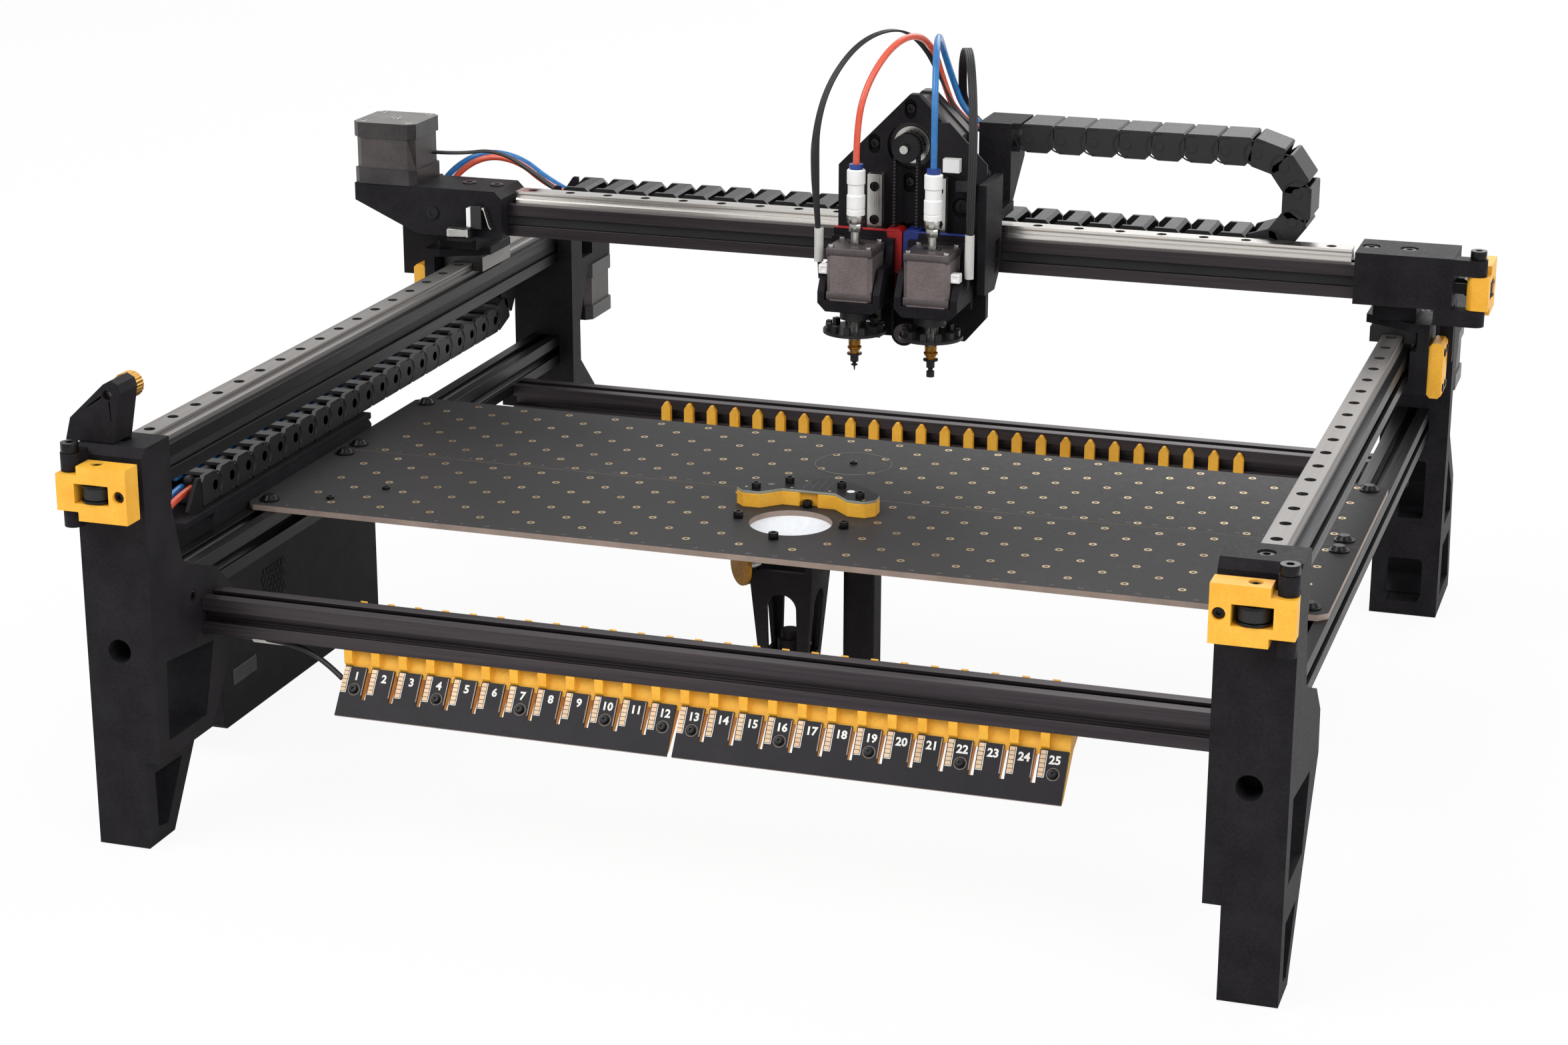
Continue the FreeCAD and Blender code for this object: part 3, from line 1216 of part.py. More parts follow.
def switch_lever_x():
    """Spring lever of the cross-travel switch."""
    x = -SIDE_X + 25.8
    z = BLOCK_LOW_Z + 20.2
    y = BLOCK_Y[0] - 5.7
    pivot = rod(0.8, (x, y, z), (0, 1, 0), 5.0)
    outline = [(-0.3, 0.4), (0.3, 0.4), (3.8, -11.0), (5.2, -12.6), (4.4, -13.0), (3.2, -11.2)]
    blade = prism([(x + u, z + v) for u, v in outline], "y", (y + 0.3, y + 4.7))
    return pivot.fuse(blade)


def switch_lever_y():
    """Spring lever of the lengthwise-travel switch."""
    x = -SIDE_X + 16.8
    y = BLOCK_Y[0] - 10.6
    z = BLOCK_LOW_Z + 2.6
    pivot = rod(0.8, (x, y, z), (0, 0, 1), 5.0)
    outline = [(0.0, 0.3), (0.0, -0.3), (-11.0, -3.2), (-12.6, -2.4), (-12.3, -1.8), (-11.0, -2.5)]
    blade = prism([(x + u, y + v) for u, v in outline], "z", (z + 0.4, z + 4.6))
    return pivot.fuse(blade)


def head_guides():
    """Carriage of the head on the gantry rail, and the two upright rails of the nozzles."""
    body = carriage(CARRIAGE_LENGTH, CARRIAGE_WIDTH, CARRIAGE_RISE, CARRIAGE_LIFT, RAIL_WIDTH, RAIL_HEIGHT)
    body.rotate(V(0, 0, 0), V(0, 0, 1), 90)
    body.translate(V(HEAD_X, GANTRY_Y, GANTRY_Z + BEAM / 2))
    solids = [body]
    front = HEAD_PLATE_Y[0] - Z_RAIL_DEPTH
    for side in (-1, 1):
        x = HEAD_X + side * Z_RAIL_SPREAD
        half = Z_RAIL_WIDTH / 2
        bar = box((x - half, x + half), (front, HEAD_PLATE_Y[0]), Z_RAIL_Z)
        groove = [
            box((x - half - 1, x - half + 0.9), (front + 1.8, front + 3.6), Z_RAIL_Z),
            box((x + half - 0.9, x + half + 1), (front + 1.8, front + 3.6), Z_RAIL_Z),
        ]
        bores = [rod(3.0, (x, front - 1, Z_RAIL_Z[1] - 7.5 - 20 * i), (0, 1, 0), 4.3) for i in range(5)]
        solids.append(bar.cut(Part.makeCompound(groove + bores)))
    return Part.makeCompound(solids)


def head_bracket():
    """Printed saddle on the head's carriage, the side frame and the chain arm."""
    saddle_z = GANTRY_Z + BEAM / 2 + CARRIAGE_RISE
    plate = HEAD_PLATE_Y
    x = HEAD_X
    z = GANTRY_Z
    chain_top = X_CHAIN_TOP_Z + LINK_HEIGHT / 2
    chain_low = chain_top - LINK_HEIGHT
    near = X_CHAIN_Y - LINK_WIDTH / 2
    far = X_CHAIN_Y + LINK_WIDTH / 2
    saddle = box((x - 24.1, x + 48.4), (plate[1], near + 1.5), (saddle_z, saddle_z + 6.0))
    outline = [
        (plate[0] - 24.0, z + 50.7),
        (plate[0] - 24.0, z - 14.8),
        (plate[0], z - 16.3),
        (plate[0] + 15.0, z - 3.3),
        (plate[0] + 15.0, z + 50.7),
    ]
    opening = [(0.0, -7.3), (10.0, 0.7), (10.0, 12.7), (0.0, 12.7)]
    side = prism(outline, "x", (x + 48.4, x + 53.4))
    window = prism([(plate[0] + u, z + v) for u, v in opening], "x", (x + 47.9, x + 53.9))
    tail = box((x + 31.9, x + 53.4), (plate[1] + 8.0, near + 1.5), (saddle_z, saddle_z + 6.0))
    rise = [(near, saddle_z), (far, z + 50.7), (far, chain_top), (near, chain_top)]
    arm = prism(rise, "x", (x + 48.4, x + 51.9))
    back = box((x + 31.9, x + 51.9), (near - 2.5, near + 1.5), (saddle_z, chain_top))
    grip = (x + 31.9, x + 56.7)
    hood = box(grip, (near, far), (chain_top - 3.5, chain_top))
    lower = box(grip, (near, far), (chain_low, chain_low + 3.2))
    return saddle.fuse([side.cut(window), tail, arm, back, hood, lower]).removeSplitter()


def head_plate():
    """Upright head plate with the slotted motor holes and the belt idler's place."""
    x = HEAD_X
    z = Z_MOTOR_Z
    outline = [
        (x - 44.0, z - 13.7),
        (x - 0.5, z + 30.6),
        (x + 4.6, z + 30.6),
        (x + 48.2, z - 13.7),
        (x + 48.2, Z_IDLER_Z + 10.4),
        (x + 35.8, Z_IDLER_Z - 4.2),
        (x - 14.6, Z_IDLER_Z - 4.2),
        (x - 14.6, Z_IDLER_Z + 2.2),
        (x - 44.0, Z_IDLER_Z + 26.2),
    ]
    body = prism(outline, "y", HEAD_PLATE_Y)
    y0 = HEAD_PLATE_Y[0] - 1
    cuts = [rod(PILOT_OPENING_R, (x, y0, z), (0, 1, 0), 8)]
    cuts.append(box((x - 5.5, x + 5.5), (y0, y0 + 8), (z - 58.5, z - 46.5)))
    for dx, dz in ((0, 1), (0, -1), (1, 0), (-1, 0)):
        u, v = x + dx * MOTOR_SCREW, z + dz * MOTOR_SCREW
        cuts.append(rod(3.6, (u, y0, v + 2.4), (0, 1, 0), 4.6))
        cuts.append(rod(3.6, (u, y0, v - 2.4), (0, 1, 0), 4.6))
        cuts.append(box((u - 3.6, u + 3.6), (y0, y0 + 4.6), (v - 2.4, v + 2.4)))
    cuts.append(rod(6.0, (x + 32.4, y0, z - 35.0), (0, 1, 0), 3.0))
    for cut in cuts:
        body = body.cut(cut)
    axle = rod(AXLE_R, (x, HEAD_PLATE_Y[0] - 10.6, Z_IDLER_Z), (0, 1, 0), 11)
    boss = rod(3.0, (x, HEAD_PLATE_Y[0] - 0.9, Z_IDLER_Z), (0, 1, 0), 1.2)
    return body.fuse([axle, boss])


def z_motor():
    """Motor behind the head plate, turned by an eighth of a turn, shaft to the front."""
    shaft = HEAD_PLATE_Y[1] - Z_BELT_Y + 8.2
    motor = square_motor((0, 0, 0), (0, 0, 1), MOTOR, MOTOR_CORNER, MOTOR_LENGTH, shaft, True)
    motor.rotate(V(0, 0, 0), V(0, 0, 1), 45)
    motor.rotate(V(0, 0, 0), V(1, 0, 0), 90)
    motor.translate(V(HEAD_X, HEAD_PLATE_Y[1], Z_MOTOR_Z))
    return motor


def z_belt():
    """Belt of the two nozzle slides."""
    return belt((HEAD_X, Z_IDLER_Z), (HEAD_X, Z_MOTOR_Z), "y", Z_BELT_Y)


def z_pulley():
    """Drive pulley of the nozzle slides, hub to the front."""
    wheel = pulley((HEAD_X, Z_BELT_Y, Z_MOTOR_Z), (0, 1, 0), 0)
    return wheel.cut(rod(SHAFT_R + RUNNING, (HEAD_X, Z_BELT_Y - 30, Z_MOTOR_Z), (0, 1, 0), 60))


def z_idler():
    """Lower idler of the nozzle slides."""
    wheel = rod(PULLEY_CORE_R, (HEAD_X, Z_BELT_Y - 3.9, Z_IDLER_Z), (0, 1, 0), 7.8)
    return wheel.cut(rod(AXLE_R + RUNNING, (HEAD_X, Z_BELT_Y - 30, Z_IDLER_Z), (0, 1, 0), 60))


def nozzle_slide(side):
    """Small carriage and coloured belt grip of one nozzle; side -1 is the left one."""
    x = HEAD_X + side * Z_RAIL_SPREAD
    nx = HEAD_X + side * NOZZLE_SPREAD
    half = SLIDE_LENGTH / 2
    plate_back = MOUNT_BACK_Y + GRIP_PLATE
    span = (x - SLIDE_WIDTH / 2, x + SLIDE_WIDTH / 2)
    block = box(span, (plate_back, HEAD_PLATE_Y[0] - 2.0), (SLIDE_Z - half, SLIDE_Z + half))
    room = box(
        (x - Z_RAIL_WIDTH / 2 - CLEAR, x + Z_RAIL_WIDTH / 2 + CLEAR),
        (HEAD_PLATE_Y[0] - Z_RAIL_DEPTH - CLEAR, HEAD_PLATE_Y[0] + 1),
        (SLIDE_Z - half - 1, SLIDE_Z + half + 1),
    )
    block = block.cut(room)
    across_mount = (nx - MOUNT_WIDTH / 2, nx + MOUNT_WIDTH / 2)
    grip_plate = box(across_mount, (MOUNT_BACK_Y, plate_back), (MOUNT_Z[0], GRIP_Z[1] - 1.0))
    near = HEAD_X + side * CLEAR
    far = HEAD_X + side * GRIP_REACH
    reach = (min(near, far), max(near, far))
    grip = bevelled_box(reach, (MOUNT_BACK_Y, HEAD_PLATE_Y[0] - 1.5), GRIP_Z, 2.0, "y")
    strand = HEAD_X + side * BELT_R
    way = box(
        (strand - BELT_THICK / 2 - CLEAR, strand + BELT_THICK / 2 + CLEAR),
        (Z_BELT_Y - BELT_WIDTH / 2 - CLEAR, Z_BELT_Y + BELT_WIDTH / 2 + CLEAR),
        (GRIP_Z[0] - 1, GRIP_Z[1] + 1),
    )
    block_room = box(span, (plate_back, HEAD_PLATE_Y[0]), (GRIP_Z[0] - 1, GRIP_Z[1] + 1))
    grip = grip_plate.fuse(grip).cut([way, block_room]).removeSplitter()
    return Part.makeCompound([block, grip])


def motor_mount(side):
    """Printed cradle of a nozzle motor."""
    x = HEAD_X + side * NOZZLE_SPREAD
    half = MOUNT_WIDTH / 2
    front = NOZZLE_Y - SMALL_MOTOR / 2
    z0, z1 = MOUNT_Z
    floor = z0 + MOUNT_FLOOR
    profile = [
        (front, z0),
        (front, z0 + 12.0),
        (front + 9.0, z0 + 26.0),
        (MOUNT_BACK_Y - MOUNT_PLATE - 4.0, z0 + 26.0),
        (MOUNT_BACK_Y - MOUNT_PLATE, z1 - 4.0),
        (MOUNT_BACK_Y - MOUNT_PLATE, z1),
        (MOUNT_BACK_Y, z1),
        (MOUNT_BACK_Y, z0),
    ]
    body = prism(profile, "x", (x - half, x + half))
    room = box(
        (x - half + MOUNT_WALL, x + half - MOUNT_WALL),
        (front - 1, MOUNT_BACK_Y - MOUNT_PLATE),
        (floor, z1 + 1),
    )
    body = body.cut(room)
    for sign in (-1, 1):
        wedge = prism(
            [(x + sign * half, z0 - 0.1), (x + sign * half, z0 + 5.0), (x + sign * (half - 5.0), z0 - 0.1)],
            "y",
            (front - 1, MOUNT_BACK_Y + 1),
        )
        body = body.cut(wedge)
    return body.cut(rod(8.0, (x, NOZZLE_Y, z0 - 1), (0, 0, 1), MOUNT_FLOOR + 2))


def nozzle_motor(side):
    """Small square motor with its pilot below and its hollow shaft's upper boss."""
    x = HEAD_X + side * NOZZLE_SPREAD
    z = MOUNT_Z[0] + MOUNT_FLOOR
    half = SMALL_MOTOR / 2
    width = (x - half + 0.1, x + half - 0.1)
    depth = (NOZZLE_Y - half, NOZZLE_Y + half)
    body = bevelled_box(width, depth, (z, z + SMALL_MOTOR_LENGTH), SMALL_MOTOR_CORNER, "z")
    body = body.fuse(rod(7.5, (x, NOZZLE_Y, z - 2), (0, 0, 1), 2))
    return body.cut(rod(2.5 + RUNNING, (x, NOZZLE_Y, z - 5), (0, 0, 1), 60))


def spindle(side):
    """Turning hollow shaft with disc, brass holder, nozzle tip and upper hexagon."""
    x = HEAD_X + side * NOZZLE_SPREAD
    shaft = rod(2.5, (x, NOZZLE_Y, TIP_Z - 1.0), (0, 0, 1), FITTING_Z - TIP_Z + 0.5)
    disc = rod(DISC_R, (x, NOZZLE_Y, DISC_Z), (0, 0, 1), DISC_THICK)
    teeth = []
    for i in range(12):
        tooth = box((DISC_R - 4.5, DISC_R - 1.5), (-1.8, 1.8), (DISC_Z, DISC_Z + DISC_THICK + 4.0))
        tooth.rotate(V(0, 0, 0), V(0, 0, 1), 30 * i)
        teeth.append(moved(tooth, x, NOZZLE_Y))
    collar_z = MOUNT_Z[0] - 6.0
    hub = rod(4.3, (x, NOZZLE_Y, DISC_Z), (0, 0, 1), collar_z + 1.2 - DISC_Z)
    collar = rod(9.0, (x, NOZZLE_Y, collar_z), (0, 0, 1), MOUNT_Z[0] - CLEAR - collar_z)
    hexagon_z = FITTING_Z - 4.4
    stem = rod(3.0, (x, NOZZLE_Y, hexagon_z - 12.7), (0, 0, 1), 13.0)
    turns = [math.radians(60 * i) for i in range(6)]
    corners = [(x + 3.8 * math.cos(a), NOZZLE_Y + 3.8 * math.sin(a)) for a in turns]
    hexagon = prism(corners, "z", (hexagon_z, FITTING_Z))
    profile = [
        (0, 0),
        (3.6, 0),
        (3.6, 3.0),
        (3.2, 3.8),
        (4.2, 4.2),
        (4.2, 5.2),
        (3.4, 5.6),
        (3.4, 6.4),
        (2.6, 6.6),
        (2.6, 7.8),
        (4.45, 8.2),
        (4.45, 9.1),
        (2.5, 9.5),
        (2.5, 13.2),
    ]
    if side > 0:
        profile += [(1.4, 14.1), (1.4, 15.0), (2.4, 15.6), (2.4, TIP_LENGTH), (0, TIP_LENGTH)]
    else:
        profile += [(1.1, 14.2), (1.1, 14.8), (2.0, 15.2), (2.0, 15.7), (0.6, 16.4), (0.25, TIP_LENGTH)]
        profile += [(0, TIP_LENGTH)]
    wire = Part.makePolygon([V(x + r, NOZZLE_Y, TIP_Z - drop) for r, drop in profile + profile[:1]])
    tip = Part.Face(wire).revolve(V(x, NOZZLE_Y, 0), V(0, 0, 1), 360)
    return shaft.fuse([disc, hub, collar, stem, hexagon, tip] + teeth).removeSplitter()


def air_fitting(side):
    """White swivel air fitting on top of a hollow shaft."""
    x = HEAD_X + side * NOZZLE_SPREAD
    profile = [
        (0, 0),
        (5.45, 0),
        (5.45, 3.1),
        (5.1, 3.3),
        (5.45, 4.1),
        (5.45, 11.5),
        (4.9, 12.3),
        (4.9, 17.9),
        (5.45, 18.7),
        (5.45, 26.5),
        (4.7, 27.2),
        (3.6, 27.3),
        (3.6, 27.8),
        (4.1, 27.9),
        (4.1, FITTING_HEIGHT),
        (0, FITTING_HEIGHT),
    ]
    wire = Part.makePolygon([V(x + r, NOZZLE_Y, FITTING_Z + rise) for r, rise in profile + profile[:1]])
    return Part.Face(wire).revolve(V(x, NOZZLE_Y, 0), V(0, 0, 1), 360)


def head_board():
    """Small circuit board on the head plate with its connectors and switch."""
    x = HEAD_X
    z = Z_MOTOR_Z
    front = HEAD_PLATE_Y[0] - BOARD_STANDOFF - BOARD_THICK
    skin = (front, front + BOARD_THICK)
    gap = (front + BOARD_THICK, HEAD_PLATE_Y[0])
    outline = [(17.9, -12.0), (17.9, 15.5), (24.9, 15.5), (48.1, -8.2), (48.1, -20.0), (35.9, -20.0)]
    board = prism([(x + u, z + v) for u, v in outline], "y", skin)
    low_pad = box((x + 37.9, x + 43.9), gap, (z - 19.0, z - 13.0))
    high_pad = box((x + 19.9, x + 25.9), gap, (z + 6.0, z + 9.0))
    plug = box((x + 22.4, x + 32.4), (front - 5.2, front), (z - 13.0, z - 5.0))
    switch = box((x + 30.2, x + 40.4), (front - 4.7, front), (z - 24.0, z - 17.5))
    return board.fuse([low_pad, high_pad, plug, switch])


def tube(points, radius, name):
    """Round cord along straight runs joined by tangent arcs, with its length printed."""
    vectors = [V(*p) for p in points]
    edges = []
    start = vectors[0]
    length = 0.0
    for i in range(1, len(vectors) - 1):
        a, b, c = vectors[i - 1], vectors[i], vectors[i + 1]
        to_a = (a - b)
        to_c = (c - b)
        run = min(to_a.Length, to_c.Length)
        ua, uc = to_a.normalize(), to_c.normalize()
        half_turn = (math.pi - math.acos(max(-1.0, min(1.0, ua.dot(uc))))) / 2
        bend = 0.45 * run / math.tan(half_turn)
        setback = 0.45 * run
        p, q = b + ua * setback, b + uc * setback
        bisector = (ua + uc).normalize()
        center = b + bisector * (bend / math.cos(half_turn))
        mid = center - bisector * bend
        edges.append(Part.makeLine(start, p))
        edges.append(Part.Arc(p, mid, q).toShape())
        length += (p - start).Length + 2 * half_turn * bend
        print(name, "bend", i, "radius", round(bend, 1), "turn", round(math.degrees(2 * half_turn), 1))
        start = q
    edges.append(Part.makeLine(start, vectors[-1]))
    length += (vectors[-1] - start).Length
    direction = vectors[1] - vectors[0]
    ring = Part.Wire(Part.makeCircle(radius, vectors[0], direction))
    solid = Part.Wire(edges).makePipeShell([ring], True, True)
    ratio = solid.Volume / (math.pi * radius**2 * length)
    print(name, "length", round(length, 1), "volume ratio", round(ratio, 4))
    return solid


# Cord routes, which start and end inside the pieces that hold them
RED_TUBE = [
    (-15.4, 67.0, FITTING_TOP_Z),
    (-15.4, 67.0, 334.0),
    (-11.0, 74.0, 357.0),
    (-2.0, 92.0, 376.0),
    (6.0, 117.0, 380.0),
    (11.0, 139.0, 368.0),
    (14.0, 150.0, 347.0),
    (22.0, 153.0, 325.0),
    (41.0, 154.0, 316.0),
]
BLUE_TUBE = [
    (31.6, 67.0, FITTING_TOP_Z),
    (31.6, 67.0, 336.0),
    (29.5, 75.0, 361.0),
    (25.0, 93.0, 378.0),
    (20.0, 117.0, 380.0),
    (16.5, 139.0, 368.0),
    (19.0, 153.0, 348.0),
    (26.0, 159.0, 325.5),
    (42.0, 160.0, 315.8),
]
LEFT_CABLE = [
    (-37.0, 67.0, 240.0),
    (-38.4, 67.0, 268.0),
    (-41.0, 68.0, 298.0),
    (-42.0, 71.0, 328.0),
    (-36.0, 80.0, 356.0),
    (-22.0, 97.0, 378.0),
    (-5.0, 119.0, 383.0),
    (6.0, 138.0, 369.0),
    (14.0, 147.0, 347.0),
    (25.0, 148.0, 325.0),
    (44.0, 148.0, 315.5),
]
RIGHT_CABLE = [
    (53.4, 67.0, 240.0),
    (54.0, 67.0, 268.0),
    (54.0, 68.5, 298.0),
    (53.5, 73.0, 328.0),
    (49.5, 84.0, 356.0),
    (42.0, 104.0, 374.0),
    (33.0, 128.0, 371.0),
    (26.0, 149.0, 355.0),
    (24.0, 161.0, 330.0),
    (41.0, 166.0, 315.5),
]


def head_cords():
    """Air tubes and motor cables that arch over the head and run into the chain."""
    return Part.makeCompound(
        [
            tube(RED_TUBE, TUBE_R, "red tube"),
            tube(BLUE_TUBE, TUBE_R, "blue tube"),
            tube(LEFT_CABLE, CABLE_R, "left motor cable"),
            tube(RIGHT_CABLE, CABLE_R, "right motor cable"),
        ]
    )


GANTRY_RED = [
    (-322.0, 178.0, 213.5),
    (-322.0, 151.0, 216.5),
    (-320.0, 148.5, 243.0),
    (-311.0, 153.0, 267.0),
    (-291.0, 158.0, 281.0),
    (-267.0, 158.0, 279.0),
    (-248.0, 157.0, 265.0),
    (-232.0, 157.0, 259.0),
]
GANTRY_BLUE = [
    (-329.0, 178.0, 213.5),
    (-329.0, 151.0, 216.5),
    (-327.0, 149.0, 243.0),
    (-317.0, 156.0, 268.0),
    (-294.0, 163.0, 283.0),
    (-268.0, 164.0, 280.0),
    (-248.0, 163.0, 266.0),
    (-232.0, 163.0, 259.0),
]
GANTRY_BLACK = [
    (-316.75, 138.0, 285.0),
    (-299.0, 138.0, 285.0),
    (-278.0, 144.0, 288.0),
    (-257.0, 149.0, 277.0),
    (-232.0, 150.0, 259.0),
]


def gantry_cables():
    """Air tubes and motor cable between the two chains."""
    return Part.makeCompound(
        [
            tube(GANTRY_RED, TUBE_R, "gantry red tube"),
            tube(GANTRY_BLUE, TUBE_R, "gantry blue tube"),
            tube(GANTRY_BLACK, BUNDLE_R, "gantry motor cable"),
        ]
    )


FRAME_RED = [
    (-317.0, -198.0, 159.0),
    (-316.5, -224.0, 158.0),
    (-317.0, -245.0, 145.0),
    (-318.0, -248.0, 122.0),
    (-319.0, -230.0, 105.0),
    (-319.0, -199.6, 102.0),
]
FRAME_BLUE = [
    (-323.0, -198.0, 159.0),
    (-322.5, -224.0, 157.0),
    (-323.0, -244.0, 143.0),
    (-324.0, -247.0, 121.0),
    (-325.0, -229.0, 105.0),
    (-325.0, -199.6, 102.0),
]
FRAME_BLACK = [
    (-331.5, -200.0, 158.0),
    (-331.0, -229.0, 159.0),
    (-331.5, -252.0, 146.0),
    (-332.5, -255.0, 121.0),
    (-333.5, -234.0, 101.0),
    (-333.5, -199.6, 100.0),
]
BOARD_CABLE = [
    (-274.0, -259.0, 101.5),
    (-252.0, -261.0, 100.6),
    (-228.0, -264.0, 101.4),
    (-207.0, -268.0, 97.0),
    (-192.8, -273.0, 88.5),
]


def frame_cables():
    """Tubes and cables that leave the chain for the housing, and the cable of the circuit boards."""
    return Part.makeCompound(
        [
            tube(FRAME_RED, TUBE_R, "frame red tube"),
            tube(FRAME_BLUE, TUBE_R, "frame blue tube"),
            tube(FRAME_BLACK, BUNDLE_R, "frame cable"),
            tube(BOARD_CABLE, CABLE_R - 0.7, "board cable"),
        ]
    )


NODES = {
    "front_legs": lambda: both(front_leg()),
    "rear_legs": lambda: both(rear_leg()),
    "y_beams": y_beams,
    "cross_beams": cross_beams,
    "y_rails": y_rails,
    "plates": plates,
    "frame_hardware": frame_hardware,
    "light_ring": light_ring,
    "camera_tower": camera_tower,
    "nozzle_rack": nozzle_rack,
    "feeder_strips": feeder_strips,
    "slot_boards": slot_boards,
    "knob_bracket": knob_bracket,
    "thumb_knob": thumb_knob,
    "housing": housing,
    "y_motors": y_motors,
    "y_belts": y_belts,
    "frame_cables": frame_cables,
    "y_pulley_left": lambda: across(y_pulley()),
    "y_pulley_right": y_pulley,
    "tensioner_left": lambda: across(y_tensioner()),
    "tensioner_right": y_tensioner,
    "y_idler_left": lambda: idler((-SIDE_X, Y_IDLER_Y, UPPER_Z), (0, 0, 1)),
    "y_idler_right": lambda: idler((SIDE_X, Y_IDLER_Y, UPPER_Z), (0, 0, 1)),
    "y_chain": y_chain,
    "gantry_block_left": gantry_block_left,
    "gantry_block_right": gantry_block_right,
    "x_beam": x_beam,
    "x_rail": x_rail,
    "slider_brackets": slider_brackets,
    "y_carriages": y_carriages,
    "belt_clamps": belt_clamps,
    "x_motor": x_motor,
    "x_belt": x_belt,
    "x_pulley": x_pulley,
    "tensioner_x": x_tensioner,
    "x_idler": lambda: idler((X_IDLER_X, GANTRY_Y, GANTRY_Z), (0, 0, 1)),
    "limit_switches": limit_switches,
    "switch_lever_x": switch_lever_x,
    "switch_lever_y": switch_lever_y,
    "x_chain": x_chain,
    "x_chain_tray": x_chain_tray,
    "gantry_cables": gantry_cables,
    "head_guides": head_guides,
    "head_bracket": head_bracket,
    "head_plate": head_plate,
    "head_board": head_board,
    "z_motor": z_motor,
    "z_belt": z_belt,
    "z_pulley": z_pulley,
    "z_idler": z_idler,
    "nozzle_slide_left": lambda: nozzle_slide(-1),
    "nozzle_slide_right": lambda: nozzle_slide(1),
    "motor_mount_left": lambda: motor_mount(-1),
    "motor_mount_right": lambda: motor_mount(1),
    "nozzle_motor_left": lambda: nozzle_motor(-1),
    "nozzle_motor_right": lambda: nozzle_motor(1),
    "spindle_left": lambda: Part.makeCompound([spindle(-1), air_fitting(-1)]),
    "spindle_right": lambda: Part.makeCompound([spindle(1), air_fitting(1)]),
    "head_cords": head_cords,
}

CENTRE_X = (X_MOTOR_X - MOTOR / 2 + X_IDLER_X + FLANGE_R) / 2
CENTRE_Y = (Y_IDLER_Y - FLANGE_R + Y_MOTOR_Y + MOTOR / 2) / 2

os.makedirs("parts", exist_ok=True)
for name, make in NODES.items():
    shape = moved(make(), -CENTRE_X, -CENTRE_Y)
    shape.exportStep("parts/" + name + ".step")
    size = shape.BoundBox
    limits = [round(v, 1) for v in (size.XMin, size.XMax, size.YMin, size.YMax, size.ZMin, size.ZMax)]
    print(name, "solids", len(shape.Solids), "faces", len(shape.Faces), "valid", shape.isValid())
    print("  limits", limits)
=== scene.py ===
"""Looks of a desktop pick and place machine, dressed over its fixed frame."""

from __future__ import annotations

import logging
import math
from dataclasses import dataclass
from enum import Enum
from typing import Callable, Optional, Sequence

import bpy
from mathutils import Matrix, Vector


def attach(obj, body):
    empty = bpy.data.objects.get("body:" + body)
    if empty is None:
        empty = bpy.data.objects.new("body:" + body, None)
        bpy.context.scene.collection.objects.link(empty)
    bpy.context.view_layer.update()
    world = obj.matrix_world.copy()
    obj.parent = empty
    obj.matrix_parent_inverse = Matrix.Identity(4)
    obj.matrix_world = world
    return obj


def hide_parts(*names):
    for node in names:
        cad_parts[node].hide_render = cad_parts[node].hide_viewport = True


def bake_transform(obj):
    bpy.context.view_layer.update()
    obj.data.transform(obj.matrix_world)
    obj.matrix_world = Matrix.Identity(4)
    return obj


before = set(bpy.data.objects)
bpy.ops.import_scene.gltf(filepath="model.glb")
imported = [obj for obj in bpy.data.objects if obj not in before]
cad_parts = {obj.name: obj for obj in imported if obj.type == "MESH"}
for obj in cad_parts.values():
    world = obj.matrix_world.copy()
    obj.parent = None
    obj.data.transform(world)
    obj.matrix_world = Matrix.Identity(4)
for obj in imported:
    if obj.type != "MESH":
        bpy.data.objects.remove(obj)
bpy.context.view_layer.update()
LOG = logging.getLogger("scene")

Piece = bpy.types.Object
Tree = bpy.types.NodeTree
Socket = bpy.types.NodeSocket
Pair = tuple[float, float]
Point = tuple[float, float, float]
Test = Callable[[Vector, Vector], bool]

# The frame's origin seen from the middle between the rails, in millimetres
CENTRE = Vector((4.325, 4.025, 0.0))
RIGHT = Vector((1, 0, 0))
BACK = Vector((0, 1, 0))
UP = Vector((0, 0, 1))
# Scale of a wave texture whose bands repeat once in a metre
WAVE_SCALE = 0.314159
# Sockets of a colour mix node
MIX_A, MIX_B, MIX_RESULT = 6, 7, 2
# Pitch of the rails' holes and radius of the counterbores with their edge
RAIL_PITCH = 25.0
BORE_REACH = 3.4
# A face counts as facing a direction beyond the first, and as upright below the second
FACING = 0.9
UPRIGHT = 0.5
WHITE = (1.0, 1.0, 1.0, 1.0)
# Half the thickness of printed ink, in metres
INK_RISE = 0.00002
MADE: dict[str, bpy.types.Material] = {}


class Way(Enum):
    """Direction that a fastener's head or a label faces."""

    RIGHT = (1.0, 0.0, 0.0)
    LEFT = (-1.0, 0.0, 0.0)
    BACK = (0.0, 1.0, 0.0)
    FRONT = (0.0, -1.0, 0.0)
    UP = (0.0, 0.0, 1.0)
    DOWN = (0.0, 0.0, -1.0)


@dataclass(frozen=True)
class Spot:
    """Place and facing of one copied piece, in millimetres from the middle between the rails."""

    x: float
    y: float
    z: float
    way: Way = Way.UP


def at(x: float, y: float, z: float) -> Vector:
    """Turn millimetres from the middle between the rails into the frame's metres."""
    return (Vector((x, y, z)) + CENTRE) / 1000


def working(point: Vector) -> Vector:
    """Turn the frame's metres back into millimetres from the middle between the rails."""
    return point * 1000 - CENTRE


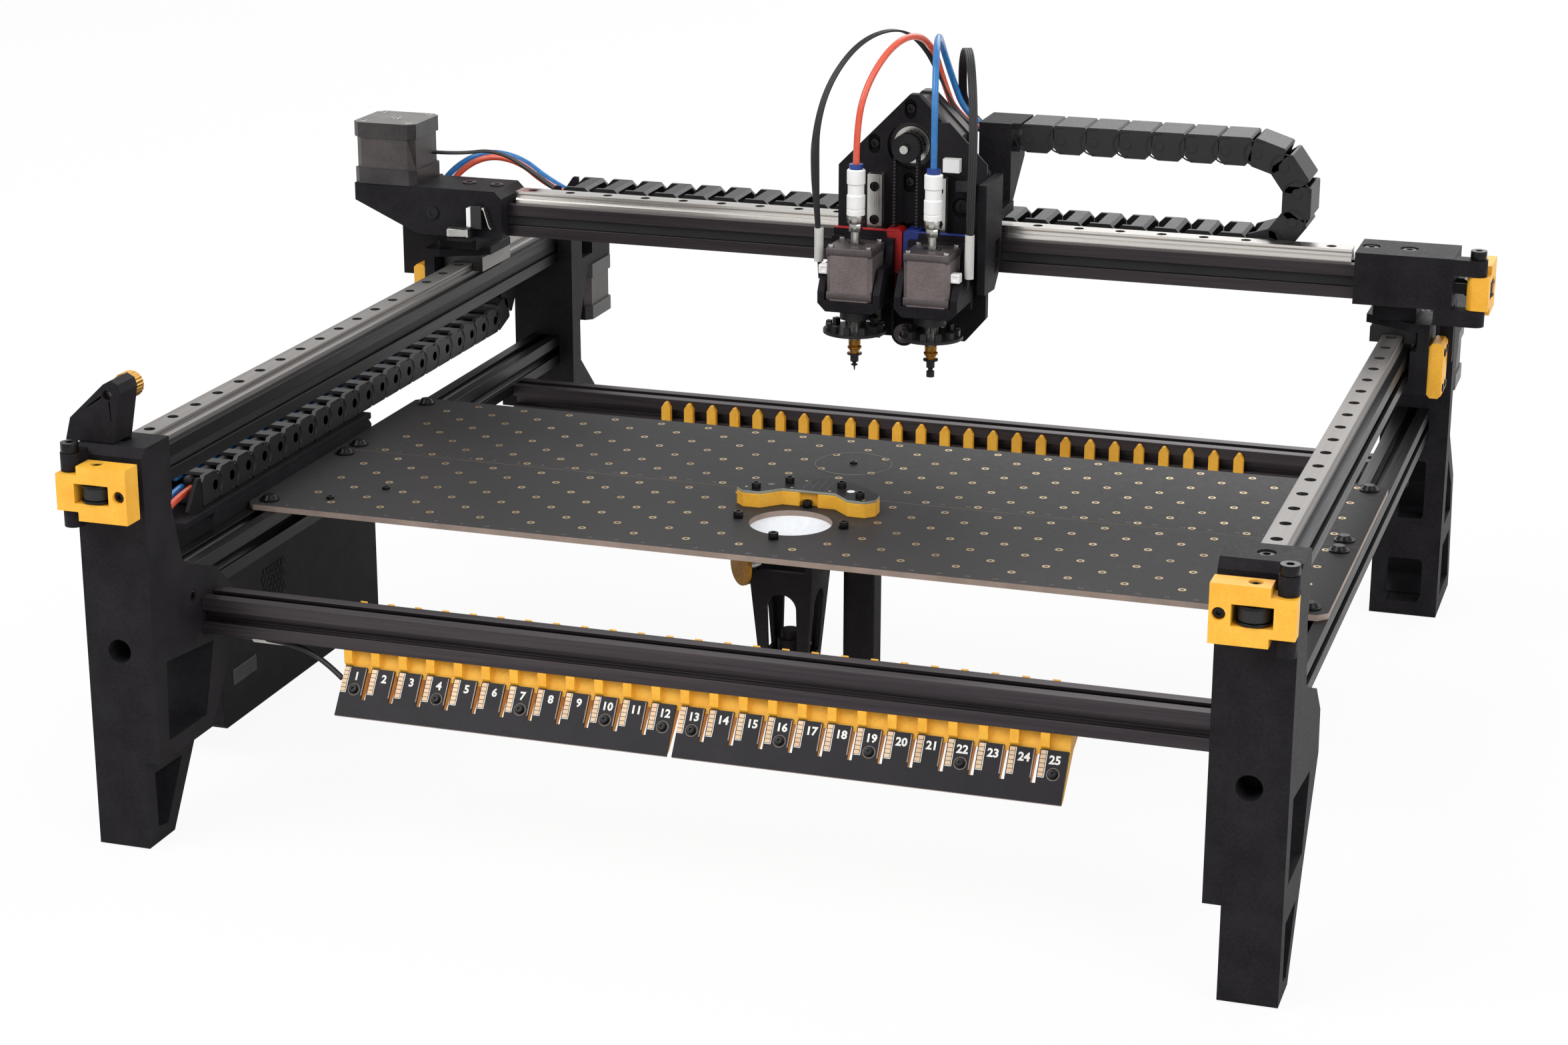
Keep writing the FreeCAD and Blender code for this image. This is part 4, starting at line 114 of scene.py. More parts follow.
def srgb(code: str) -> tuple[float, float, float, float]:
    """Turn a colour code as seen on a screen into linear colour.

    Args:
        code: Six hexadecimal digits after a hash sign.

    Returns:
        Red, green, blue and alpha.
    """
    parts = [int(code[i : i + 2], 16) / 255 for i in (1, 3, 5)]
    linear = [c / 12.92 if c <= 0.04045 else ((c + 0.055) / 1.055) ** 2.4 for c in parts]
    return (linear[0], linear[1], linear[2], 1.0)


def add_node(tree: Tree, kind: str, inputs: Optional[dict] = None, **settings) -> bpy.types.Node:
    """Add one shader node with its settings and its sockets' values or links.

    Args:
        tree: Node tree that takes the node.
        kind: Type name of the node.
        inputs: Socket name or number to a value or to an output socket.
        **settings: Properties of the node.

    Returns:
        The new node.
    """
    node = tree.nodes.new(kind)
    for name, value in settings.items():
        setattr(node, name, value)
    for socket, value in (inputs or {}).items():
        if isinstance(value, Socket):
            tree.links.new(value, node.inputs[socket])
        else:
            node.inputs[socket].default_value = value
    return node


def signal(
    tree: Tree, kind: str, inputs: Optional[dict] = None, output: str | int = 0, **settings
) -> Socket:
    """Add one shader node and return the output socket of a name or number."""
    return add_node(tree, kind, inputs, **settings).outputs[output]


def noise(tree: Tree, place: Socket, scale: float, detail: float, rough: float) -> Socket:
    """Return the value of a noise texture."""
    inputs = {"Vector": place, "Scale": scale, "Detail": detail, "Roughness": rough}
    return signal(tree, "ShaderNodeTexNoise", inputs, "Fac")


def remap(tree: Tree, value: Socket, source: Pair, target: Pair) -> Socket:
    """Stretch a value from one range to another.

    Args:
        tree: Node tree that takes the node.
        value: The value.
        source: Range that it comes from.
        target: Range that it goes to.

    Returns:
        The stretched value.
    """
    inputs = {"Value": value, "From Min": source[0], "From Max": source[1]}
    inputs.update({"To Min": target[0], "To Max": target[1]})
    return signal(tree, "ShaderNodeMapRange", inputs, "Result")


def bands(tree: Tree, coords: Socket, pitch: float, direction: str, **inputs: float) -> Socket:
    """Return a wave that repeats at a pitch in metres along a direction."""
    settings = {"Vector": coords, "Scale": WAVE_SCALE / pitch, **inputs}
    return signal(tree, "ShaderNodeTexWave", settings, "Fac", wave_type="BANDS", bands_direction=direction)


def fresh_tree(owner: bpy.types.Material | bpy.types.World) -> Tree:
    """Give a material or a world an empty node tree.

    Args:
        owner: The material or the world.

    Returns:
        Its node tree.
    """
    owner.use_nodes = True
    owner.node_tree.nodes.clear()
    return owner.node_tree


def seen_directly(tree: Tree) -> tuple[bpy.types.Node, Socket]:
    """Return the light path and its share of rays from the camera, also through clear parts.

    Args:
        tree: Node tree that takes the nodes.

    Returns:
        The light path node, and 1 for such a ray.
    """
    path = add_node(tree, "ShaderNodeLightPath")
    rays = {0: path.outputs["Is Camera Ray"], 1: path.outputs["Is Transmission Ray"]}
    return path, signal(tree, "ShaderNodeMath", rays, operation="MAXIMUM")


def mix_shaders(tree: Tree, share: Socket, first: Socket, second: Socket) -> Socket:
    """Mix two shaders by the share of the second."""
    return signal(tree, "ShaderNodeMixShader", {0: share, 1: first, 2: second})


@dataclass(frozen=True)
class Finish:
    """Surface made of one substance: colour that varies, roughness that varies, and a fine relief."""

    name: str
    colour: str
    shade: str
    rough: Pair = (0.4, 0.55)
    metallic: float = 0.0
    grain: float = 600.0
    stretch: Point = (1.0, 1.0, 1.0)
    relief: float = 0.00004
    patch: float = 60.0
    specular: float = 0.5

    def made(self) -> bpy.types.Material:
        """Return the material, built the first time.

        Returns:
            The material.
        """
        if self.name not in MADE:
            MADE[self.name] = self.build()
        return MADE[self.name]

    def build(self) -> bpy.types.Material:
        """Build the node tree.

        Returns:
            The new material.
        """
        plain = bpy.data.materials.get(self.name)
        if plain:
            plain.name = "plain_" + self.name
        material = bpy.data.materials.new(self.name)
        tree = fresh_tree(material)
        coords = signal(tree, "ShaderNodeTexCoord", output="Object")
        drawn = signal(tree, "ShaderNodeMapping", {"Vector": coords, "Scale": self.stretch}, "Vector")
        fine = noise(tree, drawn, self.grain, 3.0, 0.6)
        broad = noise(tree, drawn, self.patch, 2.0, 0.5)
        both = signal(tree, "ShaderNodeMath", {0: fine, 1: broad}, operation="ADD")
        blend = remap(tree, both, (0.75, 1.25), (0.0, 1.0))
        colours = {"Factor": blend, MIX_A: srgb(self.shade), MIX_B: srgb(self.colour)}
        tint = signal(tree, "ShaderNodeMix", colours, MIX_RESULT, data_type="RGBA")
        rough = remap(tree, fine, (0.3, 0.7), self.rough)
        relief = {"Height": self.height(tree, coords, fine), "Strength": 1.0, "Distance": self.relief}
        bump = signal(tree, "ShaderNodeBump", relief, "Normal")
        shading = {"Base Color": tint, "Roughness": rough, "Normal": bump}
        shading.update({"Metallic": self.metallic, "Specular IOR Level": self.specular})
        surface = add_node(tree, "ShaderNodeBsdfPrincipled", shading)
        self.extra(surface)
        add_node(tree, "ShaderNodeOutputMaterial", {"Surface": surface.outputs["BSDF"]})
        return material

    def height(self, tree: Tree, coords: Socket, fine: Socket) -> Socket:
        """Return the relief's height, which is the fine grain unless a finish has its own."""
        return fine

    def extra(self, surface: bpy.types.Node) -> None:
        """Set what only some finishes have on the shader."""


@dataclass(frozen=True)
class Printed(Finish):
    """Printed plastic, with the thin layers of its making stacked upwards."""

    layer: float = 0.0003

    def height(self, tree: Tree, coords: Socket, fine: Socket) -> Socket:
        """Stack layers along the height and roughen them a little."""
        layers = bands(tree, coords, self.layer, "Z", Distortion=0.4, Detail=1.0)
        return signal(tree, "ShaderNodeMath", {0: layers, 1: fine}, operation="ADD")


@dataclass(frozen=True)
class Ribbed(Finish):
    """Surface with even ribs along one direction, such as a toothed belt, a knurl or motor sheets."""

    pitch: float = 0.002
    direction: str = "Z"

    def height(self, tree: Tree, coords: Socket, fine: Socket) -> Socket:
        """Repeat a rib at the pitch."""
        return bands(tree, coords, self.pitch, self.direction)


@dataclass(frozen=True)
class Clear(Finish):
    """Soft see-through plastic, tinted through."""

    through: float = 0.35

    def extra(self, surface: bpy.types.Node) -> None:
        """Let part of the light through."""
        surface.inputs["Transmission Weight"].default_value = self.through


# Black filament, printed in layers: satin, catching light along its edges
PRINTED_BLACK = Printed(
    "printed_black", "#262427", "#1b191c", rough=(0.44, 0.58), relief=0.00003, specular=0.08
)
# Yellow filament: warm, slightly deeper in the grain
PRINTED_YELLOW = Printed("printed_yellow", "#fdbf3e", "#f5ae2a", rough=(0.42, 0.55), relief=0.00003)
# Anodised beams, drawn along the width of the machine, painted lighter than the beams along the length: a
# painted highlight for the light on their faces
BEAM_ALONG_X_PAINTED_LIGHT = Finish(
    "anodised_black", "#4b4548", "#3a3538", rough=(0.34, 0.46), metallic=0.85, grain=900.0,
    stretch=(0.02, 1.0, 1.0), relief=0.00001, patch=120.0,
)
# Anodised beams, drawn along the length of the machine
BEAM_ALONG_Y = Finish(
    "anodised_black_long", "#2b2b2e", "#1e1e20", rough=(0.36, 0.48), metallic=0.85, grain=900.0,
    stretch=(1.0, 0.02, 1.0), relief=0.00001, patch=120.0,
)
# Ground rail steel, brushed along the width, painted brighter than the rails along the length: a painted
# highlight
STEEL_ALONG_X_PAINTED_LIGHT = Finish(
    "rail_steel", "#d6d2cd", "#bfbbb6", rough=(0.16, 0.26), metallic=1.0, grain=1500.0,
    stretch=(0.01, 1.0, 1.0), relief=0.000006, patch=200.0,
)
# Ground rail steel, brushed along the length, painted darker than the rail along the width, standing in for
# the shade on it
STEEL_ALONG_Y_PAINTED_SHADE = Finish(
    "rail_steel_long", "#9b9896", "#8b8886", rough=(0.55, 0.66), metallic=1.0, grain=1500.0,
    stretch=(1.0, 0.01, 1.0), relief=0.000006, patch=200.0,
)
# Ground steel of the upright head rails
STEEL_ALONG_Z = Finish(
    "rail_steel_upright", "#c8c5c1", "#a9a6a2", rough=(0.22, 0.34), metallic=1.0, grain=1500.0,
    stretch=(1.0, 1.0, 0.01), relief=0.000006, patch=200.0,
)
# Solder mask on the work plates: smooth charcoal with a faint orange peel
PLATE_MASK = Finish(
    "plate_mask", "#3a3839", "#323131", rough=(0.46, 0.56), grain=400.0, relief=0.00001, patch=8.0,
    specular=0.14,
)
# Sawn edge of glass fibre board
BOARD_EDGE = Finish("board_edge", "#a9978c", "#8d7d74", rough=(0.6, 0.75), grain=2500.0, relief=0.00003)
# Solder mask on the slot boards and the head board
BOARD_MASK = Finish(
    "board_mask", "#232024", "#1a181b", rough=(0.34, 0.44), grain=500.0, relief=0.000004, specular=0.16
)
# Gold flash on the rings and pads
GOLD = Finish(
    "gold_flash", "#dcc8a0", "#bb9d74", rough=(0.3, 0.44), metallic=0.8, grain=3000.0, relief=0.000008
)
# Tan copper pads on the slot boards, lacquered
PAD = Finish(
    "copper_pad", "#cbb092", "#b89a7a", rough=(0.35, 0.48), metallic=0.35, grain=2500.0, relief=0.000008
)
# Painted shade inside a counterbore: dark steel standing in for the shade down the hole
BORE_PAINTED_SHADE = Finish(
    "bore_dark", "#2a2827", "#191817", rough=(0.4, 0.55), metallic=0.6, grain=2000.0, relief=0.00001
)
# Plated wall of a drilled hole, brownish copper darkened with painted shade of the hole's depth
HOLE_PAINTED_SHADE = Finish("hole_dark", "#4a3019", "#1e130a", rough=(0.5, 0.7), grain=3000.0, relief=0.00002)
# White ink of digits and circles
INK = Finish("white_ink", "#eeeeea", "#dededa", rough=(0.5, 0.65), grain=3000.0, relief=0.000004)
# Faint grey ink of the plates' edge numbers
FAINT_INK = Finish("faint_ink", "#75746f", "#5c5b57", rough=(0.5, 0.65), grain=3000.0, relief=0.000004)
# Blackened screw steel
SCREW_BLACK = Finish("screw_black", "#1a1a1b", "#0f0f10", rough=(0.25, 0.38), metallic=0.6, grain=1200.0)
# Bright zinc screws, shafts and hexagons
NICKEL = Finish("nickel", "#c2c0bb", "#9d9b97", rough=(0.2, 0.3), metallic=1.0, grain=1500.0, relief=0.000008)
# Turned brass
BRASS = Finish("brass", "#c0934a", "#98692a", rough=(0.26, 0.38), metallic=1.0, grain=1500.0, relief=0.00001)
# Brass with a knurl
KNURLED_BRASS = Ribbed(
    "knurled_brass", "#cf9c4a", "#a3712b", rough=(0.3, 0.42), metallic=1.0, relief=0.0001,
    pitch=0.0006, direction="X",
)
# Painted end caps of the motors
MOTOR_CAP = Finish(
    "motor_cap", "#474444", "#383636", rough=(0.34, 0.44), metallic=0.75, grain=900.0, relief=0.00002
)
# Cast caps of the nozzle motors, blackened and rubbed bright
MOTOR_BAND = Finish(
    "motor_band", "#675f60", "#534c4d", rough=(0.36, 0.46), metallic=0.5, grain=900.0, relief=0.00002
)
# Upward faces of the gantry motor, painted lighter than its sides: a painted highlight from the light above
MOTOR_TOP_PAINTED_LIGHT = Finish(
    "motor_lid", "#8a8784", "#716e6b", rough=(0.36, 0.46), metallic=0.5, grain=900.0, relief=0.00002
)
# Ground steel of the lower idler
IDLER_STEEL = Finish(
    "idler_steel", "#6d6465", "#575051", rough=(0.4, 0.52), metallic=0.4, grain=1500.0, relief=0.00001
)
# Cut edge of the rack's board
RACK_EDGE = Finish("rack_edge", "#a3a69a", "#86897d", rough=(0.5, 0.62), grain=2500.0, relief=0.00002)
# Stacked sheets of the larger motors, darkened with oil
DARK_SHEETS = Ribbed(
    "dark_sheets", "#4f4948", "#3f3a39", rough=(0.4, 0.52), metallic=0.35, relief=0.00004, pitch=0.0005
)
# Stacked motor sheets, oiled, with fine lines across
MOTOR_SHEETS = Ribbed(
    "motor_sheets", "#857979", "#716666", rough=(0.42, 0.55), metallic=0.35, relief=0.00004, pitch=0.0005
)
# Moulded chain links
CHAIN = Finish(
    "chain_black", "#1b191a", "#121112", rough=(0.4, 0.54), grain=900.0, relief=0.00003, patch=90.0
)
# Belt with its teeth across, upright at the head
BELT_UPRIGHT = Ribbed("belt_upright", "#1b1b1c", "#101011", rough=(0.6, 0.75), relief=0.0006, pitch=0.002)
# Belt seen on its smooth back
BELT = Finish("belt_rubber", "#1b1b1c", "#101011", rough=(0.55, 0.7), grain=1500.0, relief=0.00003)
# Turned light alloy of the side pulleys
PULLEY_LIGHT = Finish("pulley_alu", "#b4b2ae", "#93918d", rough=(0.25, 0.36), metallic=1.0, grain=1500.0)
# Black anodised idlers and head pulley
PULLEY_DARK = Finish("pulley_black", "#29282a", "#1a191b", rough=(0.24, 0.36), metallic=0.8, grain=1500.0)
# White moulded air fittings
FITTING_WHITE = Finish("fitting_white", "#ffffff", "#fbfaf8", rough=(0.28, 0.38), grain=500.0, relief=0.00001)
# Blue release collar on a fitting
COLLAR_BLUE = Finish("collar_blue", "#24459c", "#1a3478", rough=(0.25, 0.35), grain=500.0, relief=0.00001)
# Red belt grip
GRIP_RED = Printed("grip_red", "#c4161d", "#a31016", rough=(0.4, 0.52), relief=0.00003)
# Blue belt grip
GRIP_BLUE = Printed("grip_blue", "#1d3590", "#162870", rough=(0.4, 0.52), relief=0.00003)
# Clear red air tube
TUBE_RED = Clear("tube_red", "#ff7a5e", "#fa6648", rough=(0.18, 0.28), grain=300.0, relief=0.00001)
# Clear blue air tube
TUBE_BLUE = Clear("tube_blue", "#3d97e0", "#2c82cc", rough=(0.18, 0.28), grain=300.0, relief=0.00001)
# Rubbery black cable skin
CABLE = Finish("cable_black", "#1b1b1d", "#121214", rough=(0.4, 0.55), grain=900.0, relief=0.00002)
# White heat shrink sleeve
SLEEVE = Finish("sleeve_white", "#dedcd8", "#cfcdc9", rough=(0.4, 0.55), grain=700.0, relief=0.00003)
# Milky light bowl
DIFFUSER = Finish("diffuser_white", "#f2f5f9", "#e8ebef", rough=(0.45, 0.6), grain=400.0, relief=0.00001)
# Moulded switch bodies
SWITCH = Finish("switch_black", "#1c1c1e", "#131314", rough=(0.3, 0.42), grain=800.0, relief=0.00001)
# Spring steel levers
LEVER = Finish(
    "lever_steel", "#cfccc8", "#b0ada9", rough=(0.22, 0.32), metallic=1.0, grain=1500.0, relief=0.00001
)
# Bare plate on the housing
NAMEPLATE = Finish(
    "bare_plate", "#5a5a5c", "#48484a", rough=(0.3, 0.42), metallic=0.8, grain=900.0, relief=0.00001
)
# Black plastic of the rotating discs
DISC_BLACK = Finish("disc_black", "#1c1c1d", "#121213", rough=(0.35, 0.5), grain=700.0, relief=0.00002)
# Painted shade inside a vent: near black standing in for the shade in the hole
VENT_PAINTED_SHADE = Finish("vent_dark", "#0c0c0d", "#060606", rough=(0.6, 0.8), grain=900.0, relief=0.00002)


def clean_slate() -> None:
    """Leave edit mode and deselect everything."""
    if bpy.context.object and bpy.context.object.mode != "OBJECT":
        bpy.ops.object.mode_set(mode="OBJECT")
    bpy.ops.object.select_all(action="DESELECT")


def activate(piece: Piece) -> None:
    """Make a piece the active one and the only selected one.

    Args:
        piece: The piece.
    """
    clean_slate()
    piece.select_set(True)
    bpy.context.view_layer.objects.active = piece


def apply_place() -> None:
    """Put the selected pieces' places into their meshes."""
    bpy.ops.object.transform_apply(location=True, rotation=True, scale=True)


def add_object(name: str, data: bpy.types.ID) -> Piece:
    """Add an object of some data to the scene.

    Args:
        name: Its name.
        data: Its mesh, curve, lamp or camera data.

    Returns:
        The object.
    """
    piece = bpy.data.objects.new(name, data)
    bpy.context.scene.collection.objects.link(piece)
    return piece


def pick(test: Test) -> None:
    """Select, in edit mode, the faces of the active piece whose centre and normal pass a test.

    Args:
        test: Takes a face's centre in working millimetres and its normal.
    """
    piece = bpy.context.object
    bpy.ops.mesh.select_mode(type="FACE")
    bpy.ops.mesh.select_all(action="DESELECT")
    bpy.ops.object.mode_set(mode="OBJECT")
    for polygon in piece.data.polygons:
        polygon.select = test(working(polygon.center), polygon.normal)
    bpy.ops.object.mode_set(mode="EDIT")


def top_of(piece: Piece, way: Vector) -> Test:
    """Return the test for the faces that lie furthest in a direction and face it.

    Args:
        piece: The piece, with its place in its mesh.
        way: The direction.

    Returns:
        The test.
    """
    reach = max(v.co.dot(way) for v in piece.data.vertices)
    limit = reach * 1000 - CENTRE.dot(way) - 0.01
    return lambda centre, normal: centre.dot(way) > limit and normal.dot(way) > FACING


def settle(piece: Piece, name: str, *finishes: Finish) -> Piece:
    """Name a piece, put its place into its mesh and give it its materials.

    Args:
        piece: The piece, selected and active.
        name: Its name.
        *finishes: Its finishes in slot order.

    Returns:
        The piece.
    """
    activate(piece)
    apply_place()
    piece.name = name
    piece.data.name = name
    if finishes:
        piece.data.materials.clear()
        for finish in finishes:
            piece.data.materials.append(finish.made())
    return piece


def smooth(piece: Piece, angle: float = 35.0) -> None:
    """Shade a piece smooth except across edges sharper than an angle in degrees."""
    activate(piece)
    bpy.ops.object.shade_smooth_by_angle(angle=math.radians(angle))


def mount(piece: Piece, name: str, body: str, *finishes: Finish, angle: Optional[float] = None) -> Piece:
    """Settle a piece and let it ride on a body.

    Args:
        piece: The piece.
        name: Its name.
        body: Body that it rides on.
        *finishes: Its finishes in slot order.
        angle: Angle in degrees below which it is shaded smooth; left as it is when left out.

    Returns:
        The piece.
    """
    settle(piece, name, *finishes)
    if angle is not None:
        smooth(piece, angle)
    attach(piece, body)
    return piece


def round_piece(radius: float, length: float, spot: Spot, sides: int = 24) -> Piece:
    """Add a cylinder that stands on a spot and points the spot's way, and leave it active.

    Args:
        radius: Radius in millimetres.
        length: Length in millimetres.
        spot: Centre of its foot and the way it points.
        sides: Number of sides.

    Returns:
        The cylinder.
    """
    clean_slate()
    way = Vector(spot.way.value)
    middle = at(spot.x, spot.y, spot.z) + way * length / 2000
    turn = UP.rotation_difference(way).to_euler()
    bpy.ops.mesh.primitive_cylinder_add(
        vertices=sides, radius=radius / 1000, depth=length / 1000, location=middle, rotation=turn
    )
    apply_place()
    return bpy.context.object


def block_piece(low: Point, high: Point) -> Piece:
    """Add a block between two corners in working millimetres, and leave it active.

    Args:
        low: Corner with the lowest coordinates.
        high: Corner with the highest coordinates.

    Returns:
        The block.
    """
    clean_slate()
    a, b = at(*low), at(*high)
    bpy.ops.mesh.primitive_cube_add(size=1.0, location=(a + b) / 2, scale=b - a)
    apply_place()
    return bpy.context.object


def torus(
    major: float, minor: float, turns: int, sides: int, place: Vector = Vector((0, 0, 0))
) -> Piece:
    """Add a level ring of round section.

    Args:
        major: Radius of the ring in millimetres.
        minor: Radius of its section in millimetres.
        turns: Segments around the ring.
        sides: Segments around the section.
        place: Its middle in the frame's metres.

    Returns:
        The ring.
    """
    clean_slate()
    bpy.ops.mesh.primitive_torus_add(
        location=place,
        major_radius=major / 1000,
        minor_radius=minor / 1000,
        major_segments=turns,
        minor_segments=sides,
    )
    return bpy.context.object


def slab(outline: Sequence[Pair], low: float, high: float) -> Piece:
    """Extrude an outline upwards.

    Args:
        outline: Corners in working millimetres, counter-clockwise from above.
        low: Lower Z.
        high: Upper Z.

    Returns:
        The raised piece, active and in object mode.
    """
    clean_slate()
    bpy.ops.mesh.primitive_circle_add(vertices=len(outline), radius=0.01, fill_type="NGON")
    piece = bpy.context.object
    for vertex, (x, y) in zip(piece.data.vertices, outline):
        vertex.co = at(x, y, low)
    bpy.ops.object.mode_set(mode="EDIT")
    bpy.ops.mesh.select_all(action="SELECT")
    bpy.ops.mesh.extrude_region_move(TRANSFORM_OT_translate={"value": (0, 0, (high - low) / 1000)})
    bpy.ops.mesh.select_all(action="SELECT")
    bpy.ops.mesh.normals_make_consistent(inside=False)
    bpy.ops.object.mode_set(mode="OBJECT")
    return piece


def soften(width: float, segments: int = 2, test: Optional[Test] = None) -> None:
    """Bevel the edges of the active piece's picked faces, or of all its faces.

    Args:
        width: Bevel width in millimetres.
        segments: Number of segments.
        test: Picks the faces; all when left out.
    """
    bpy.ops.object.mode_set(mode="EDIT")
    pick(test if test else (lambda centre, normal: True))
    bpy.ops.mesh.bevel(offset=width / 1000, offset_type="OFFSET", segments=segments, affect="EDGES")
    bpy.ops.object.mode_set(mode="OBJECT")


def sink(way: Vector, rim: float, depth: float) -> None:
    """Sink a pocket into the active piece's far face.

    Args:
        way: Direction that the face looks.
        rim: Width of the rim left around the pocket, in millimetres.
        depth: Depth of the pocket in millimetres; below zero it stands proud.
    """
    piece = bpy.context.object
    test = top_of(piece, way)
    bpy.ops.object.mode_set(mode="EDIT")
    pick(test)
    bpy.ops.mesh.inset(thickness=rim / 1000, use_even_offset=True)
    bpy.ops.mesh.extrude_region_move(TRANSFORM_OT_translate={"value": way * (-depth / 1000)})
    bpy.ops.object.mode_set(mode="OBJECT")


def join(pieces: Sequence[Piece], name: str) -> Piece:
    """Join pieces into one mesh under a name.

    Args:
        pieces: The pieces.
        name: Name of the joined piece.

    Returns:
        The joined piece.
    """
    clean_slate()
    for piece in pieces:
        piece.select_set(True)
    bpy.context.view_layer.objects.active = pieces[0]
    if len(pieces) > 1:
        bpy.ops.object.join()
    joined = bpy.context.object
    joined.name = name
    joined.data.name = name
    return joined


def spread(master: Piece, spots: Sequence[Spot], name: str, body: str) -> Piece:
    """Copy a piece modelled upright at the frame's origin to spots, and join the copies.

    Args:
        master: The piece; it is used up.
        spots: Where the copies go.
        name: Name of the joined piece.
        body: Body that it rides on.

    Returns:
        The joined piece.
    """
    copies = []
    for spot in spots:
        copy = add_object("copy", master.data.copy())
        turn = UP.rotation_difference(Vector(spot.way.value))
        copy.matrix_world = Matrix.Translation(at(spot.x, spot.y, spot.z)) @ turn.to_matrix().to_4x4()
        copies.append(copy)
    bpy.data.objects.remove(master)
    activate(copies[0])
    for copy in copies:
        copy.select_set(True)
    apply_place()
    joined = join(copies, name)
    smooth(joined)
    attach(joined, body)
    return joined


ORIGIN = Spot(-CENTRE.x, -CENTRE.y, -CENTRE.z)


@dataclass(frozen=True)
class CapScrew:
    """Cylinder head screw with a sunk socket."""

    radius: float = 2.75
    height: float = 3.0
    socket: float = 1.5
    sides: int = 24

    def model(self, finish: Finish) -> Piece:
        """Model one screw head at the frame's origin.

        Args:
            finish: Its finish.

        Returns:
            The head.
        """
        head = round_piece(self.radius, self.height, ORIGIN, self.sides)
        soften(0.12 * self.radius, 2, top_of(head, UP))
        sink(UP, self.radius * 0.88 - self.socket, min(1.6, self.height * 0.6))
        return settle(head, "screw", finish)

    def place(self, spots: Sequence[Spot], name: str, body: str, finish: Finish = SCREW_BLACK) -> Piece:
        """Model the screw and copy it to its spots."""
        return spread(self.model(finish), spots, name, body)


@dataclass(frozen=True)
class RingedHole:
    """Drilled hole with a gold ring around it on a board."""

    outer: float = 2.2
    inner: float = 1.15
    rise: float = 0.03
    sides: int = 20

    def model(self) -> Piece:
        """Model one ring with its middle painted dark as the shade of the hole, at the frame's origin.

        Returns:
            The ring.
        """
        ring = round_piece(self.outer, self.rise, ORIGIN, self.sides)
        bpy.ops.object.mode_set(mode="EDIT")
        pick(top_of(ring, UP))
        bpy.ops.mesh.inset(thickness=(self.outer - self.inner) / 1000)
        bpy.ops.mesh.extrude_region_move(TRANSFORM_OT_translate={"value": (0, 0, -0.6 * self.rise / 1000)})
        bpy.ops.object.mode_set(mode="OBJECT")
        settle(ring, "ring", GOLD, HOLE_PAINTED_SHADE)
        # Its sunk middle takes painted shade, the dark of the hole below.
        for polygon in ring.data.polygons:
            if polygon.center.xy.length < self.inner / 1000 * 0.9 and polygon.normal.z > FACING:
                polygon.material_index = 1
        return ring


def letters(text: str, size: float, finish: Finish, bold: float = 0.0) -> Piece:
    """Model flat digits at the frame's origin, facing up, as a mesh.

    Args:
        text: The digits.
        size: Height of the type in millimetres.
        finish: The ink.
        bold: Extra stroke width in millimetres.

    Returns:
        The digits.
    """
    clean_slate()
    bpy.ops.object.text_add(location=(0, 0, 0))
    piece = bpy.context.object
    piece.data.body = text
    piece.data.size = size / 1000
    piece.data.align_x = "CENTER"
    piece.data.align_y = "CENTER"
    piece.data.extrude = INK_RISE
    piece.data.offset = bold / 1000
    piece.data.resolution_u = 2
    bpy.ops.object.convert(target="MESH")
    return settle(bpy.context.object, "digits", finish)


def lay(piece: Piece, origin: Vector, right: Vector, up: Vector) -> Piece:
    """Move a piece modelled flat at the frame's origin onto a plane, and put the place into its mesh.

    Args:
        piece: The piece, facing up at the origin.
        origin: Where its origin goes, in the frame's metres.
        right: Direction of its X on the plane.
        up: Direction of its Y on the plane.

    Returns:
        The piece.
    """
    out = right.cross(up)
    turn = Matrix((right, up, out)).transposed().to_4x4()
    piece.matrix_world = Matrix.Translation(origin) @ turn
    activate(piece)
    apply_place()
    return piece


@dataclass
class Dresser:
    """Puts finishes on the CAD nodes and rounds their edges."""

    segments: int = 2
    sharp: float = 40.0
    weld: float = 0.00001

    def dress(self, nodes: str, bevel: float, base: Finish, *extras: tuple[Finish, Test]) -> None:
        """Give nodes their finishes and soft edges.

        Args:
            nodes: Names of the CAD nodes, parted by spaces.
            bevel: Width of the soft edge in millimetres; none when zero.
            base: Finish of the whole node.
            *extras: Pairs of a finish and the test that its faces pass.
        """
        for node in nodes.split():
            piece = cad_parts[node]
            piece.data.materials.clear()
            for finish in [base] + [pair[0] for pair in extras]:
                piece.data.materials.append(finish.made())
            for polygon in piece.data.polygons:
                polygon.material_index = 0
                centre = working(polygon.center)
                for index, (_, test) in enumerate(extras, start=1):
                    if test(centre, polygon.normal):
                        polygon.material_index = index
            if bevel > 0:
                self.round_edges(piece, bevel / 1000)

    def round_edges(self, piece: Piece, width: float) -> None:
        """Weld a piece and round its edges by a width in metres.

        Args:
            piece: The piece.
            width: Width of the rounding.
        """
        weld = piece.modifiers.new("weld", "WELD")
        weld.merge_threshold = self.weld
        edge = piece.modifiers.new("soft_edges", "BEVEL")
        edge.width = width
        edge.segments = self.segments
        edge.limit_method = "ANGLE"
        edge.angle_limit = math.radians(self.sharp)
        edge.harden_normals = True

    def off_hole(self, along: float, first: float) -> float:
        """Return the distance along a rail from its nearest hole."""
        return (along - first + RAIL_PITCH / 2) % RAIL_PITCH - RAIL_PITCH / 2


